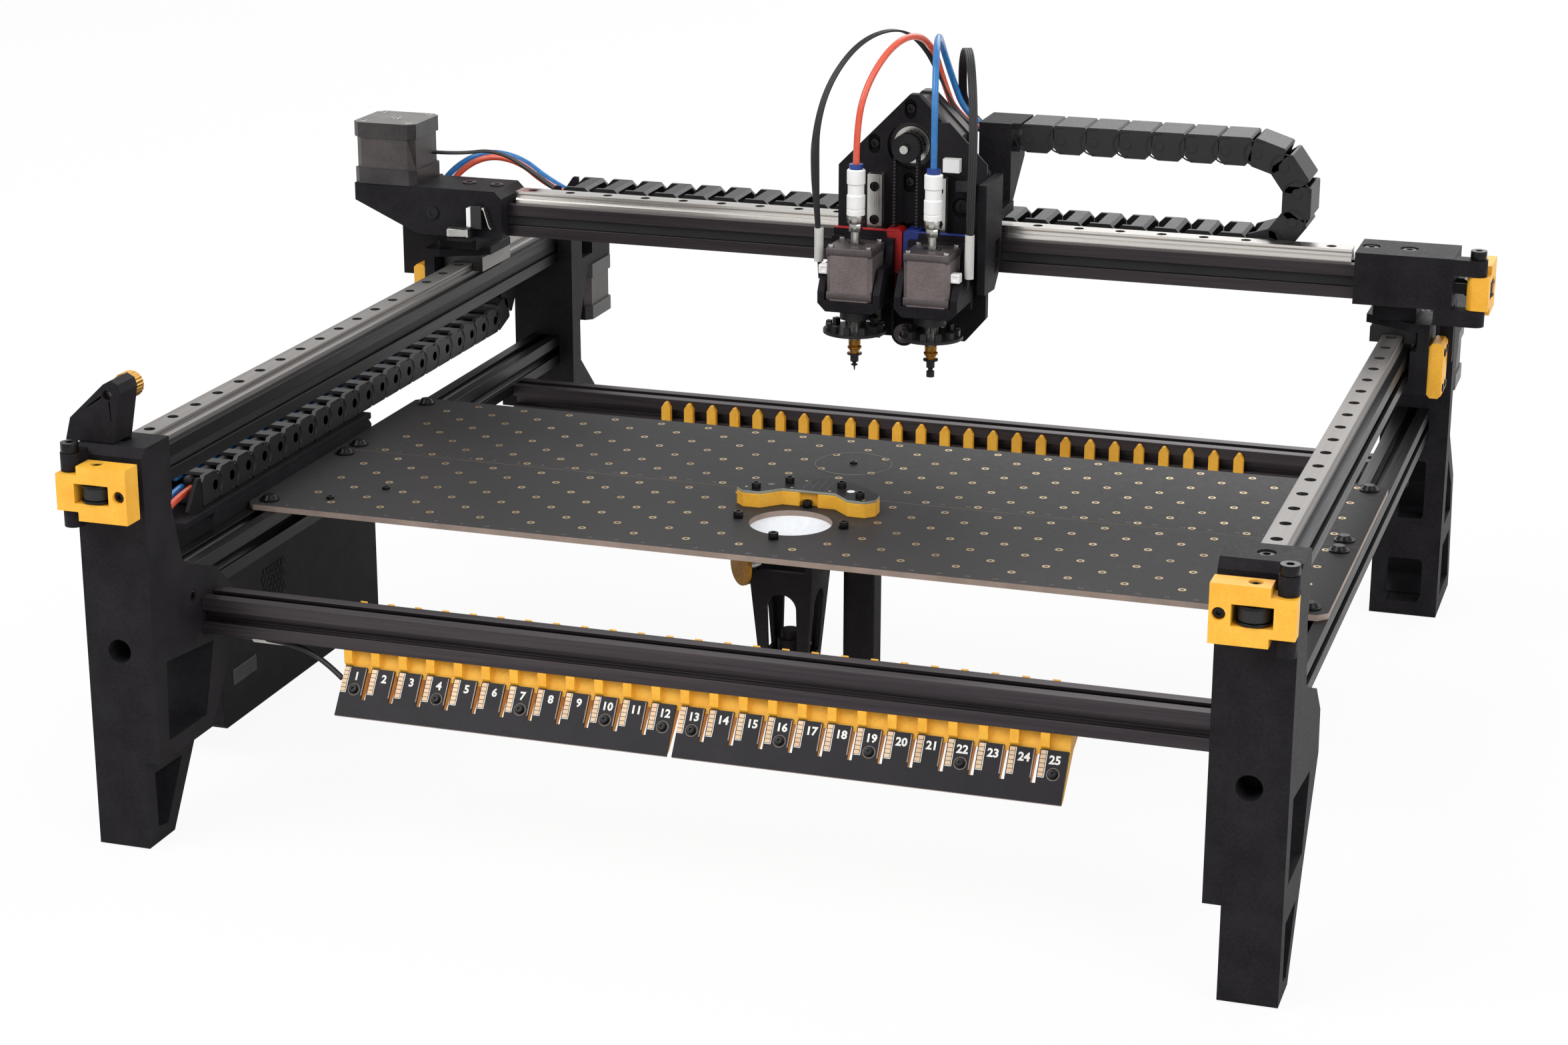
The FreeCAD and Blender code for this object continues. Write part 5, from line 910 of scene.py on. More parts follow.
@dataclass
class Camera:
    """Camera at the photograph's viewing angle."""

    place: Point = (503.88, -1674.63, 667.43)
    yaw: float = 17.918
    pitch: float = 17.650
    roll: float = 0.154
    lens: float = 72.205
    sensor: float = 36.0
    reach: float = 20.0

    def build(self) -> None:
        """Create the camera and make it the scene's."""
        yaw, pitch, roll = (math.radians(v) for v in (self.yaw, self.pitch, self.roll))
        right = Vector((math.cos(yaw), math.sin(yaw), 0))
        ahead = Vector((-math.sin(yaw), math.cos(yaw), 0))
        forward = ahead * math.cos(pitch) - UP * math.sin(pitch)
        up = right.cross(forward)
        turned_right = math.cos(roll) * right + math.sin(roll) * up
        turned_up = -math.sin(roll) * right + math.cos(roll) * up
        data = bpy.data.cameras.new("view")
        data.lens = self.lens
        data.sensor_width = self.sensor
        data.clip_end = self.reach
        camera = add_object("view", data)
        basis = Matrix((turned_right, turned_up, -forward)).transposed().to_4x4()
        camera.matrix_world = Matrix.Translation(at(*self.place)) @ basis
        bpy.context.scene.camera = camera


@dataclass
class Studio:
    """Pale floor, soft lights and white surroundings."""

    floor: float = 8.0
    floor_z: float = -0.0012
    aim: Point = (0.0, 0.0, 0.15)
    whiteness: float = 0.93
    mirrored: float = 0.6
    ambient: float = 0.5

    def build(self) -> None:
        """Build floor, world and lights."""
        self.build_floor()
        self.build_world()
        self.lamp("key", (-1.6, -1.8, 2.6), 2.2, 60.0)
        self.lamp("fill", (2.4, -1.6, 1.8), 2.0, 34.0)
        self.lamp("back", (0.4, 2.6, 2.2), 2.4, 46.0)
        bpy.context.scene.view_settings.view_transform = "Standard"

    def build_floor(self) -> None:
        """Build the floor, white to the camera and pale grey to the light."""
        clean_slate()
        bpy.ops.mesh.primitive_grid_add(
            x_subdivisions=8, y_subdivisions=8, size=self.floor, location=(0, 0, self.floor_z)
        )
        floor = bpy.context.object
        material = bpy.data.materials.new("studio_floor")
        tree = fresh_tree(material)
        matt = signal(tree, "ShaderNodeBsdfDiffuse", {"Color": srgb("#f4f4f4")})
        white = signal(tree, "ShaderNodeEmission", {"Color": WHITE, "Strength": 1.0})
        _, seen = seen_directly(tree)
        share = signal(tree, "ShaderNodeMath", {0: seen, 1: self.whiteness}, operation="MULTIPLY")
        add_node(tree, "ShaderNodeOutputMaterial", {"Surface": mix_shaders(tree, share, matt, white)})
        settle(floor, "studio_floor")
        floor.data.materials.append(material)

    def build_world(self) -> None:
        """Build a world that is white where it is seen and softer as light."""
        world = bpy.data.worlds.new("studio")
        bpy.context.scene.world = world
        tree = fresh_tree(world)
        path, seen = seen_directly(tree)
        mirrored = {0: path.outputs["Is Glossy Ray"], 1: self.mirrored}
        glossy = signal(tree, "ShaderNodeMath", mirrored, operation="MULTIPLY")
        share = signal(tree, "ShaderNodeMath", {0: seen, 1: glossy}, operation="MAXIMUM")
        soft = signal(tree, "ShaderNodeBackground", {"Color": WHITE, "Strength": self.ambient})
        white = signal(tree, "ShaderNodeBackground", {"Color": WHITE, "Strength": 1.0})
        add_node(tree, "ShaderNodeOutputWorld", {"Surface": mix_shaders(tree, share, soft, white)})

    def lamp(self, name: str, place: Point, size: float, power: float) -> None:
        """Add one square area lamp that looks at the machine.

        Args:
            name: Its name.
            place: Its place in metres.
            size: Its side in metres.
            power: Its power in watts.
        """
        data = bpy.data.lights.new(name, "AREA")
        data.size = size
        data.energy = power
        lamp = add_object(name, data)
        lamp.location = place
        lamp.rotation_euler = (Vector(self.aim) - Vector(place)).to_track_quat("-Z", "Y").to_euler()


@dataclass(frozen=True)
class CordRun:
    """One cord that the machine holds at both ends: its route in working millimetres and its make."""

    name: str
    finish: Finish
    radius: float
    route: tuple[Point, ...]
    wires: int = 1
    slide: str = ""
    slide_y: Pair = (70.0, 135.0)

    def build(self, node: str, body: str) -> Piece:
        """Sweep the cord along its smooth route.

        Args:
            node: CAD node that it shows.
            body: Body that it rides on.

        Returns:
            The cord as a mesh.
        """
        curve = bpy.data.curves.new(self.name, "CURVE")
        curve.dimensions = "3D"
        spline = curve.splines.new("NURBS")
        spline.points.add(len(self.route) - 1)
        for point, (x, y, z) in zip(spline.points, self.route):
            point.co = (*at(x, y, z), 1.0)
        spline.order_u = 3
        spline.use_endpoint_u = True
        spline.resolution_u = 10
        section = None
        if self.wires > 1:
            section = self.section()
            curve.bevel_mode = "OBJECT"
            curve.bevel_object = section
            curve.twist_mode = "Z_UP"
        else:
            curve.bevel_depth = self.radius / 1000
            curve.bevel_resolution = 4
        curve.use_fill_caps = True
        activate(add_object(self.name, curve))
        bpy.ops.object.convert(target="MESH")
        cord = settle(bpy.context.object, self.name, self.finish)
        smooth(cord, 60.0)
        if section:
            bpy.data.objects.remove(section)
        if self.slide:
            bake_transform(cord)
        else:
            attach(cord, body)
        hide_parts(node)
        return cord

    def section(self) -> Piece:
        """Draw the outline of wires that lie side by side.

        Returns:
            The closed outline.
        """
        wire = self.radius / self.wires
        points = []
        for side in (1, -1):
            for index in range(self.wires):
                middle = side * (-self.radius + wire * (2 * index + 1))
                for turn in range(5):
                    angle = math.pi * (turn + 0.5) / 5
                    points.append((middle - side * wire * math.cos(angle), side * wire * math.sin(angle)))
        curve = bpy.data.curves.new("section", "CURVE")
        spline = curve.splines.new("POLY")
        spline.points.add(len(points) - 1)
        for point, (x, y) in zip(spline.points, points):
            point.co = (x / 1000, y / 1000, 0.0, 1.0)
        spline.use_cyclic_u = True
        return add_object("section", curve)


@dataclass
class Cords:
    """Air tubes and cables, which the machine holds at both ends."""

    tube: float = 2.0
    ribbon: float = 2.6
    bundle: float = 3.0

    def build(self) -> None:
        """Build every cord of the three cord nodes."""
        sets = (
            ("head_cords", "head", self.head()),
            ("gantry_cables", "gantry", self.gantry()),
            ("frame_cables", "frame", self.frame()),
        )
        for node, body, runs in sets:
            for run in runs:
                run.build(node, body)

    def head(self) -> list[CordRun]:
        """Return the cords that arch over the head.

        Returns:
            The tubes from the fittings and the ribbons from the nozzle motors.
        """
        red = (
            (-15.4, 67.0, 309.7), (-15.4, 67.0, 334.0), (-11.0, 74.0, 357.0), (-2.0, 92.0, 376.0),
            (6.0, 117.0, 380.0), (11.0, 139.0, 368.0), (14.0, 150.0, 347.0), (22.0, 153.0, 325.0),
            (41.0, 154.0, 316.0),
        )
        blue = (
            (31.6, 67.0, 309.7), (31.6, 67.0, 336.0), (29.5, 75.0, 361.0), (25.0, 93.0, 378.0),
            (20.0, 117.0, 380.0), (16.5, 139.0, 368.0), (19.0, 153.0, 348.0), (26.0, 159.0, 325.5),
            (42.0, 160.0, 315.8),
        )
        left = (
            (-37.0, 67.0, 240.0), (-38.4, 67.0, 268.0), (-41.0, 68.0, 298.0), (-42.0, 71.0, 328.0),
            (-36.0, 80.0, 356.0), (-22.0, 97.0, 378.0), (-5.0, 119.0, 383.0), (6.0, 138.0, 369.0),
            (14.0, 147.0, 347.0), (25.0, 148.0, 325.0), (44.0, 148.0, 315.5),
        )
        right = (
            (53.4, 67.0, 240.0), (54.0, 67.0, 268.0), (54.0, 68.5, 298.0), (53.5, 73.0, 328.0),
            (49.5, 84.0, 356.0), (42.0, 104.0, 374.0), (33.0, 128.0, 371.0), (26.0, 149.0, 355.0),
            (24.0, 161.0, 330.0), (41.0, 166.0, 315.5),
        )
        return [
            CordRun("red_head_tube", TUBE_RED, self.tube, red, slide="slide_left"),
            CordRun("blue_head_tube", TUBE_BLUE, self.tube, blue, slide="slide_right"),
            CordRun("left_motor_ribbon", CABLE, self.ribbon, left, 4, "slide_left"),
            CordRun("right_motor_ribbon", CABLE, self.ribbon, right, 4, "slide_right"),
        ]

    def gantry(self) -> list[CordRun]:
        """Return the cords between the two chains.

        Returns:
            The two tubes and the motor's ribbon.
        """
        red = (
            (-322.0, 178.0, 213.5), (-322.0, 151.0, 216.5), (-320.0, 148.5, 243.0), (-311.0, 153.0, 267.0),
            (-291.0, 158.0, 281.0), (-267.0, 158.0, 279.0), (-248.0, 157.0, 265.0), (-232.0, 157.0, 259.0),
        )
        blue = (
            (-329.0, 178.0, 213.5), (-329.0, 151.0, 216.5), (-327.0, 149.0, 243.0), (-317.0, 156.0, 268.0),
            (-294.0, 163.0, 283.0), (-268.0, 164.0, 280.0), (-248.0, 163.0, 266.0), (-232.0, 163.0, 259.0),
        )
        black = (
            (-316.75, 138.0, 285.0), (-299.0, 138.0, 285.0), (-278.0, 144.0, 288.0), (-257.0, 149.0, 277.0),
            (-232.0, 150.0, 259.0),
        )
        return [
            CordRun("red_gantry_tube", TUBE_RED, self.tube, red),
            CordRun("blue_gantry_tube", TUBE_BLUE, self.tube, blue),
            CordRun("gantry_motor_ribbon", CABLE, self.bundle, black, 4),
        ]

    def frame(self) -> list[CordRun]:
        """Return the cords at the housing and at the slot boards.

        Returns:
            The two tubes, the bundle and the boards' cable.
        """
        red = (
            (-317.0, -198.0, 159.0), (-316.5, -224.0, 158.0), (-317.0, -245.0, 145.0),
            (-318.0, -248.0, 122.0), (-319.0, -230.0, 105.0), (-319.0, -199.6, 102.0),
        )
        blue = (
            (-323.0, -198.0, 159.0), (-322.5, -224.0, 157.0), (-323.0, -244.0, 143.0),
            (-324.0, -247.0, 121.0), (-325.0, -229.0, 105.0), (-325.0, -199.6, 102.0),
        )
        black = (
            (-331.5, -200.0, 158.0), (-331.0, -229.0, 159.0), (-331.5, -252.0, 146.0),
            (-332.5, -255.0, 121.0), (-333.5, -234.0, 101.0), (-333.5, -199.6, 100.0),
        )
        board = (
            (-274.0, -259.0, 101.5), (-252.0, -261.0, 100.6), (-228.0, -264.0, 101.4), (-207.0, -268.0, 97.0),
            (-192.8, -273.0, 88.5),
        )
        return [
            CordRun("red_frame_tube", TUBE_RED, self.tube, red),
            CordRun("blue_frame_tube", TUBE_BLUE, self.tube, blue),
            CordRun("frame_bundle", CABLE, self.bundle, black, 3),
            CordRun("board_cable", CABLE, 1.5, board),
        ]


@dataclass
class Base(Dresser):
    """Legs, beams, rails, tensioners and the thumb screw."""

    side: float = 293.8
    rail_seat: float = 212.8
    rail_top: float = 217.3
    rail_first: float = -280.0
    rail_count: int = 22
    leg_side: float = 276.9
    idler_y: float = -334.7
    upper: float = 199.3

    def build(self) -> None:
        """Dress the nodes and add the screws."""
        self.dress("front_legs rear_legs knob_bracket", 0.6, PRINTED_BLACK)
        self.dress("y_beams", 0.25, BEAM_ALONG_Y)
        # The cross beams take the lighter beam colour, a painted highlight.
        self.dress("cross_beams", 0.25, BEAM_ALONG_X_PAINTED_LIGHT)
        # The rails take the darker steel, a painted shade, and their counterbores take painted shade too.
        self.dress("y_rails", 0.3, STEEL_ALONG_Y_PAINTED_SHADE, (BORE_PAINTED_SHADE, self.in_bore))
        rear_caps = (PRINTED_BLACK, lambda c, n: abs(c.x) < 301 and c.y > 190)
        self.dress("frame_hardware", 0.2, SCREW_BLACK, rear_caps)
        self.dress("tensioner_left tensioner_right", 0.5, PRINTED_YELLOW, (NICKEL, self.is_axle))
        self.dress("y_idler_left y_idler_right", 0.15, PULLEY_DARK)
        self.dress("y_pulley_left y_pulley_right", 0.15, PULLEY_LIGHT)
        self.dress("y_motors", 0.3, MOTOR_CAP, (DARK_SHEETS, lambda c, n: 151.3 < c.z < 171.0))
        self.dress("y_belts", 0.0, BELT)
        self.dress("thumb_knob", 0.15, KNURLED_BRASS, (NICKEL, lambda c, n: c.y < -300.0))
        self.screws()

    def in_bore(self, centre: Vector, normal: Vector) -> bool:
        """Tell whether a face lies inside one of the rails' counterbores, which take the painted shade."""
        away = math.hypot(abs(centre.x) - self.side, self.off_hole(centre.y, self.rail_first))
        return away < BORE_REACH and centre.z < self.rail_top - 0.05

    def is_axle(self, centre: Vector, normal: Vector) -> bool:
        """Tell whether a face belongs to an idler's axle."""
        away = math.hypot(abs(centre.x) - self.side, centre.y - self.idler_y)
        return away < 1.7 and abs(centre.z - self.upper) < 5.3

    def screws(self) -> None:
        """Add the rail screws and the legs' and tensioners' screws."""
        ends = (-self.side, self.side)
        holes = [self.rail_first + RAIL_PITCH * i for i in range(self.rail_count)]
        rails = [Spot(x, y, self.rail_seat) for x in ends for y in holes]
        CapScrew(2.6, 2.4, 1.3, 16).place(rails, "y_rail_screws", "frame")
        legs = [Spot(x, -308.0, 215.6) for x in ends]
        CapScrew(4.1, 3.2, 1.9).place(legs, "leg_top_screws", "frame")
        ways = ((-self.leg_side, Way.RIGHT), (self.leg_side, Way.LEFT))
        sides = [Spot(x, -279.1, 127.6, way) for x, way in ways]
        CapScrew(3.0, 2.4, 1.6).place(sides, "leg_side_screws", "frame")
        for sign, body in ((-1, "tensioner_left"), (1, "tensioner_right")):
            x = sign * self.side
            spots = [
                Spot(x, self.idler_y, 210.8),
                Spot(x - sign * 15.2, self.idler_y - 3.4, self.upper, Way.FRONT),
            ]
            CapScrew(2.8, 2.2, 1.4).place(spots, body + "_screws", body)


@dataclass
class WorkPlates(Dresser):
    """Work plates with their ringed holes, edge numbers, light and nozzle rack."""

    top: float = 141.0
    pitch: float = 30.3
    row: float = 30.0
    light: Pair = (-1.5, -99.7)
    light_clear: float = 30.0
    light_screws: float = 30.5
    field_x: float = 288.0
    field_y: Pair = (-156.0, 70.0)
    seam_y: float = -44.5
    seam_clear: float = 4.0
    rack_room: tuple[Pair, Pair] = ((-43.0, -81.5), (41.5, -42.5))
    wheel_place: Point = (-23.3, -123.4, 120.8)
    wheel_way: Point = (0.68, 0.73, 0.0)
    mark: Point = (-1.4, 20.6, 141.0)

    def build(self) -> None:
        """Dress the nodes and add rings, numbers and screws."""
        self.dress("plates", 0.0, PLATE_MASK, (BOARD_EDGE, lambda c, n: abs(n.z) < UPRIGHT))
        self.dress("light_ring", 0.3, DIFFUSER)
        self.dress("camera_tower", 0.4, PRINTED_BLACK)
        self.focus_wheel()
        self.rack()
        self.rings()
        self.numbers()
        self.screws()

    def focus_wheel(self) -> None:
        """Model the brass focus wheel at the tower's left corner, with its stub."""
        turn = UP.rotation_difference(Vector(self.wheel_way).normalized()).to_matrix()
        wheel = round_piece(10.8, 2.2, Spot(-CENTRE.x, -CENTRE.y, 0.0), 48)
        soften(0.35, 2)
        stub = round_piece(2.5, 10.5, Spot(-CENTRE.x, -CENTRE.y, 2.0), 20)
        soften(0.3, 1)
        parts = [settle(wheel, "wheel", KNURLED_BRASS), settle(stub, "stub", NICKEL)]
        joined = join(parts, "focus_wheel")
        joined.matrix_world = Matrix.Translation(at(*self.wheel_place)) @ turn.to_4x4()
        mount(joined, "focus_wheel", "frame", angle=35.0)

    def rack(self) -> None:
        """Model the nozzle rack: yellow body, cover board, screws and marks."""
        front = [(-41.4, -74.5), (-36.2, -79.6), (-26.4, -79.4), (-16.2, -69.3)]
        notch = [(-6.2, -69.3), (-5.0, -66.8), (3.4, -66.8), (4.6, -69.3)]
        end = [(14.7, -69.3), (25.0, -79.4), (35.0, -79.6), (39.8, -74.5)]
        back = [(39.8, -66.0), (32.5, -57.0), (18.7, -47.3), (13.4, -44.3), (-14.6, -44.3), (-22.6, -47.3)]
        back += [(-35.0, -54.4), (-41.4, -64.2)]
        board_low, board_top = self.top + 8.2, self.top + 9.6
        body = slab(front + notch + end + back, self.top, board_low)
        soften(0.4, 2, lambda c, n: abs(n.z) < UPRIGHT)
        board = slab(front + end + back, board_low, board_top)
        soften(0.15, 1)
        board = settle(board, "board", BOARD_MASK, RACK_EDGE)
        for polygon in board.data.polygons:
            polygon.material_index = int(abs(polygon.normal.z) < FACING)
        parts = [settle(body, "body", PRINTED_YELLOW), board]
        marks = [(22.1, -63.0, 2.3, FITTING_WHITE), (-24.6, -63.4, 2.0, FAINT_INK)]
        pads = ((-36.5, -72.0), (-7.6, -51.0), (-11.6, -66.2), (10.6, -66.0), (33.6, -76.6))
        marks += [(x, y, 0.9, GOLD) for x, y in pads]
        for x, y, radius, finish in marks:
            dot = round_piece(radius, 0.12, Spot(x, y, board_top - 0.04), 24)
            soften(0.03, 1)
            parts.append(settle(dot, "dot", finish))
        for i in range(4):
            x = -5.0 + 4.2 * i
            line = block_piece((x, -65.5, board_top - 0.05), (x + 0.2, -49.0, board_top + 0.02))
            parts.append(settle(line, "line", FAINT_INK))
        rack = join(parts, "nozzle_rack_piece")
        smooth(rack, 12.0)
        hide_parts("nozzle_rack")
        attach(rack, "frame")
        places = ((-30.4, -73.0), (-15.7, -57.0), (14.9, -57.0), (30.2, -72.6))
        CapScrew(2.6, 3.4, 1.5).place([Spot(x, y, board_top) for x, y in places], "rack_screws", "frame")

    def free(self, x: float, y: float) -> bool:
        """Tell whether a hole may sit at a place on the plates.

        Args:
            x: Its place across.
            y: Its place along.

        Returns:
            True where the plate is bare.
        """
        if abs(x) > self.field_x or not self.field_y[0] <= y <= self.field_y[1]:
            return False
        if abs(y - self.seam_y) < self.seam_clear:
            return False
        if math.hypot(x - self.light[0], y - self.light[1]) < self.light_clear:
            return False
        low, high = self.rack_room
        return not (low[0] < x < high[0] and low[1] < y < high[1])

    def rings(self) -> None:
        """Cover both plates with the two shifted lattices of ringed holes."""
        spots = []
        for x0, y0 in ((-16.5, 65.5), (-31.7, 50.5)):
            for i in range(-10, 12):
                for j in range(9):
                    x, y = x0 + self.pitch * i, y0 - self.row * j
                    if self.free(x, y):
                        spots.append(Spot(x, y, self.top))
        spread(RingedHole().model(), spots, "plate_rings", "frame")

    def numbers(self) -> None:
        """Number the hole columns along the front edge of each plate."""
        pieces = []
        for i in range(1, 40):
            x = 1.0 + self.pitch / 2 * (i - 20.5)
            for y in (-158.5, -40.2):
                if math.hypot(x, y + 45) > 60.0 or y < -100.0:
                    digits = letters(str(i), 3.2, FAINT_INK)
                    pieces.append(lay(digits, at(x, y, self.top + 0.03), RIGHT, BACK))
        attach(join(pieces, "plate_numbers"), "frame")
        circle = torus(22.5, 0.24, 72, 6, at(*self.mark) + UP * 0.00001)
        mount(circle, "plate_circle", "frame", FAINT_INK, angle=35.0)

    def screws(self) -> None:
        """Add the small screws on the plates and the light's cap screws."""
        x, y = self.light
        steps = ((1, 0), (0, 1), (-1, 0), (0, -1))
        spots = [Spot(x + self.light_screws * a, y + self.light_screws * b, 144.0) for a, b in steps]
        CapScrew(2.8, 0.9, 1.4).place(spots, "light_screw_tops", "frame")
        small = [Spot(-262.0, -139.0, self.top), Spot(-240.0, -112.0, self.top), Spot(*self.mark)]
        CapScrew(2.2, 1.6, 1.1).place(small, "plate_small_screws", "frame")


@dataclass
class FeederRow(Dresser):
    """Slot boards with pads, digits and screws, and the yellow strips that hold them."""

    first: float = -192.0
    pitch: float = 15.6
    count: int = 25
    middle: float = 8.1
    top: Pair = (-270.8, 95.0)
    bottom: Pair = (-286.7, 73.0)
    line: float = 0.35
    pad_step: float = 2.25
    pad_rows: int = 6
    screws: tuple[int, ...] = (1, 4, 7, 10, 12, 13, 16, 19, 22, 25)
    board_ends: tuple[int, int] = (12, 25)

    def build(self) -> None:
        """Dress the nodes and add what is on the boards."""
        self.dress("feeder_strips", 0.25, PRINTED_YELLOW)
        down = self.down()
        self.dress("slot_boards", 0.0, BOARD_MASK, (BOARD_EDGE, lambda c, n: n.dot(down) > FACING))
        self.digits()
        self.pads()
        self.fasteners()

    def down(self) -> Vector:
        """Return the direction down the boards."""
        return Vector((0, self.bottom[0] - self.top[0], self.bottom[1] - self.top[1])).normalized()

    def on_board(self, x: float, along: float, rise: float = 0.03) -> Vector:
        """Return the frame's point on the boards' face.

        Args:
            x: Place across.
            along: Distance down from the upper edge.
            rise: Height above the face.

        Returns:
            The point in metres.
        """
        down = self.down()
        out = down.cross(RIGHT)
        point = Vector((x, self.top[0], self.top[1])) + down * along + out * rise
        return at(*point)

    def set_on(self, piece: Piece, place: Vector) -> Piece:
        """Lay a flat piece on the boards' face at a place in metres."""
        return lay(piece, place, RIGHT, -self.down())

    def tongue(self, number: int) -> float:
        """Return the left edge of a tongue between two slots."""
        return self.first + self.pitch * (number - 1)

    def digits(self) -> None:
        """Print the slot numbers and the corner lines beside the pads."""
        pieces = []
        for number in range(1, self.count + 1):
            left = self.tongue(number)
            digits = letters(str(number), 6.0, INK, bold=0.2)
            pieces.append(self.set_on(digits, self.on_board(left + self.middle, 5.2)))
            corner, end = left + 3.85, 14.3
            pieces.append(self.stripe(corner - self.line, corner, 0.5, end, INK))
            pieces.append(self.stripe(left + 0.4, corner, end - self.line, end, INK))
            if number not in self.board_ends:
                pieces.append(self.stripe(left + 12.4, left + 12.95, 0.5, 15.0, BOARD_EDGE))
        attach(join(pieces, "slot_digits"), "frame")

    def stripe(self, left: float, right: float, start: float, end: float, finish: Finish) -> Piece:
        """Model one flat stripe on the boards' face.

        Args:
            left: Its left edge.
            right: Its right edge.
            start: Its upper end along the board.
            end: Its lower end along the board.
            finish: Its finish.

        Returns:
            The stripe.
        """
        half_x, half_y = (right - left) / 2, (end - start) / 2
        stripe = block_piece(
            (-half_x - CENTRE.x, -half_y - CENTRE.y, 0), (half_x - CENTRE.x, half_y - CENTRE.y, 0.05)
        )
        settle(stripe, "stripe", finish)
        return self.set_on(stripe, self.on_board((left + right) / 2, (start + end) / 2, 0.0))

    def pads(self) -> None:
        """Model a row of copper pads beside every slot."""
        pieces = []
        for number in range(1, self.count + 1):
            left = self.tongue(number)
            for row in range(self.pad_rows):
                start = 0.5 + self.pad_step * row
                pieces.append(self.stripe(left + 0.45, left + 3.2, start, start + 1.95, PAD))
        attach(join(pieces, "slot_pads"), "frame")

    def fasteners(self) -> None:
        """Add the board screws with their printed circles, and the cable's sleeve."""
        pieces = []
        for number in self.screws:
            head = CapScrew(2.1, 1.4, 1.0, 20).model(SCREW_BLACK)
            place = self.on_board(self.tongue(number) + self.middle, 12.2, 0.0)
            pieces.append(self.set_on(head, place))
            circle = settle(torus(3.1, 0.18, 32, 4), "circle", BOARD_EDGE)
            pieces.append(self.set_on(circle, place))
        mount(join(pieces, "slot_screws"), "slot_screws", "frame", angle=35.0)
        sleeve = round_piece(2.5, 26.0, Spot(-249.5, -261.3, 100.9, Way.RIGHT), 20)
        soften(0.8, 3)
        mount(sleeve, "board_cable_sleeve", "frame", SLEEVE, angle=35.0)


@dataclass
class Housing(Dresser):
    """Controller housing with its vents and bare plate, and the chain on it."""

    inner: float = -303.8
    link_side: float = -308.3
    link_first: float = 214.0
    link_z: float = 158.6
    link_pitch: float = 19.8
    links: int = 21
    tube_length: float = 392.0
    tube_top: float = 165.2

    def build(self) -> None:
        """Dress the nodes and add vents and plate."""
        self.dress("housing", 0.5, PRINTED_BLACK)
        steps = [self.link_first - self.link_pitch * (i + 0.5) for i in range(self.links)]
        places = [(Vector((self.link_side, y, self.link_z)), 0.0) for y in steps]
        sides = LinkSide().place(places, -BACK, "y_chain_sides")
        DragChain("y_chain", "frame", "gantry", 167.5, 207.0).build(sides)
        self.inner_tubes()
        self.vents()
        plate = block_piece((self.inner, -186.0, 40.0), (self.inner + 0.6, -158.0, 50.0))
        soften(0.8, 2, lambda c, n: n.x > FACING)
        mount(plate, "bare_plate", "frame", NAMEPLATE)

    def inner_tubes(self) -> None:
        """Lay the tubes and the bundle that show between the crossbars of the chain's lower run."""
        runs = (
            ("red", -333.5, 2.0, TUBE_RED),
            ("blue", -328.0, 2.0, TUBE_BLUE),
            ("bundle", -320.0, 3.0, CABLE),
        )
        for name, x, radius, finish in runs:
            end = Spot(x, 196.0, self.tube_top - radius, Way.FRONT)
            tube = round_piece(radius, self.tube_length, end, 20)
            soften(0.3, 1)
            mount(tube, "chain_" + name, "frame", finish, angle=50.0)

    def vents(self) -> None:
        """Model the hexagonal vents as sunk cells on the inner side, painted near black as the shade inside
        them.
        """
        spots = []
        for i in range(6):
            for j in range(6):
                y = -145.0 + 4.6 * i + (2.3 if j % 2 else 0.0)
                spots.append(Spot(self.inner, y, 74.0 + 4.0 * j, Way.RIGHT))
        cell = round_piece(2.1, 0.5, ORIGIN, 6)
        sink(UP, 0.35, 0.4)
        spread(settle(cell, "vent", VENT_PAINTED_SHADE), spots, "housing_vents", "frame")


@dataclass(frozen=True)
class LinkSide:
    """Pivot and seam that show on the side of a chain link."""

    pivot: float = 2.9
    seam: float = 7.6
    seam_end: float = 1.5
    offset: float = 5.6

    def model(self) -> Piece:
        """Model the side at the frame's origin, facing up, with the pivot towards -X.

        Returns:
            The side.
        """
        disc = round_piece(self.pivot, 0.6, Spot(-CENTRE.x - self.offset, -CENTRE.y, 0.0), 24)
        soften(0.1, 1, top_of(disc, UP))
        sink(UP, 0.5, 0.15)
        disc = settle(disc, "pivot", CHAIN)
        torus(self.seam, 0.5, 40, 6, Vector((-self.offset / 1000, 0, 0)))
        bpy.ops.object.mode_set(mode="EDIT")
        bpy.ops.mesh.select_all(action="SELECT")
        bpy.ops.mesh.bisect(
            plane_co=RIGHT * (self.seam_end - self.offset) / 1000,
            plane_no=RIGHT,
            use_fill=True,
            clear_outer=True,
        )
        bpy.ops.object.mode_set(mode="OBJECT")
        seam = settle(bpy.context.object, "seam", CHAIN)
        return join([disc, seam], "link_side")

    def place(self, places: Sequence[tuple[Vector, float]], along: Vector, name: str) -> Piece:
        """Copy the side onto the links of a chain.

        Args:
            places: Middle of each link's side in working millimetres, and the link's turn in radians.
            along: Direction of the links' +X when they aren't turned.
            name: Name of the joined piece.

        Returns:
            All the sides as one piece.
        """
        master = self.model()
        pieces = []
        out = along.cross(UP)
        for middle, turn in places:
            copy = add_object("copy", master.data.copy())
            right = along * math.cos(turn) + UP * math.sin(turn)
            pieces.append(lay(copy, at(*middle), right, out.cross(right)))
        bpy.data.objects.remove(master)
        return join(pieces, name)


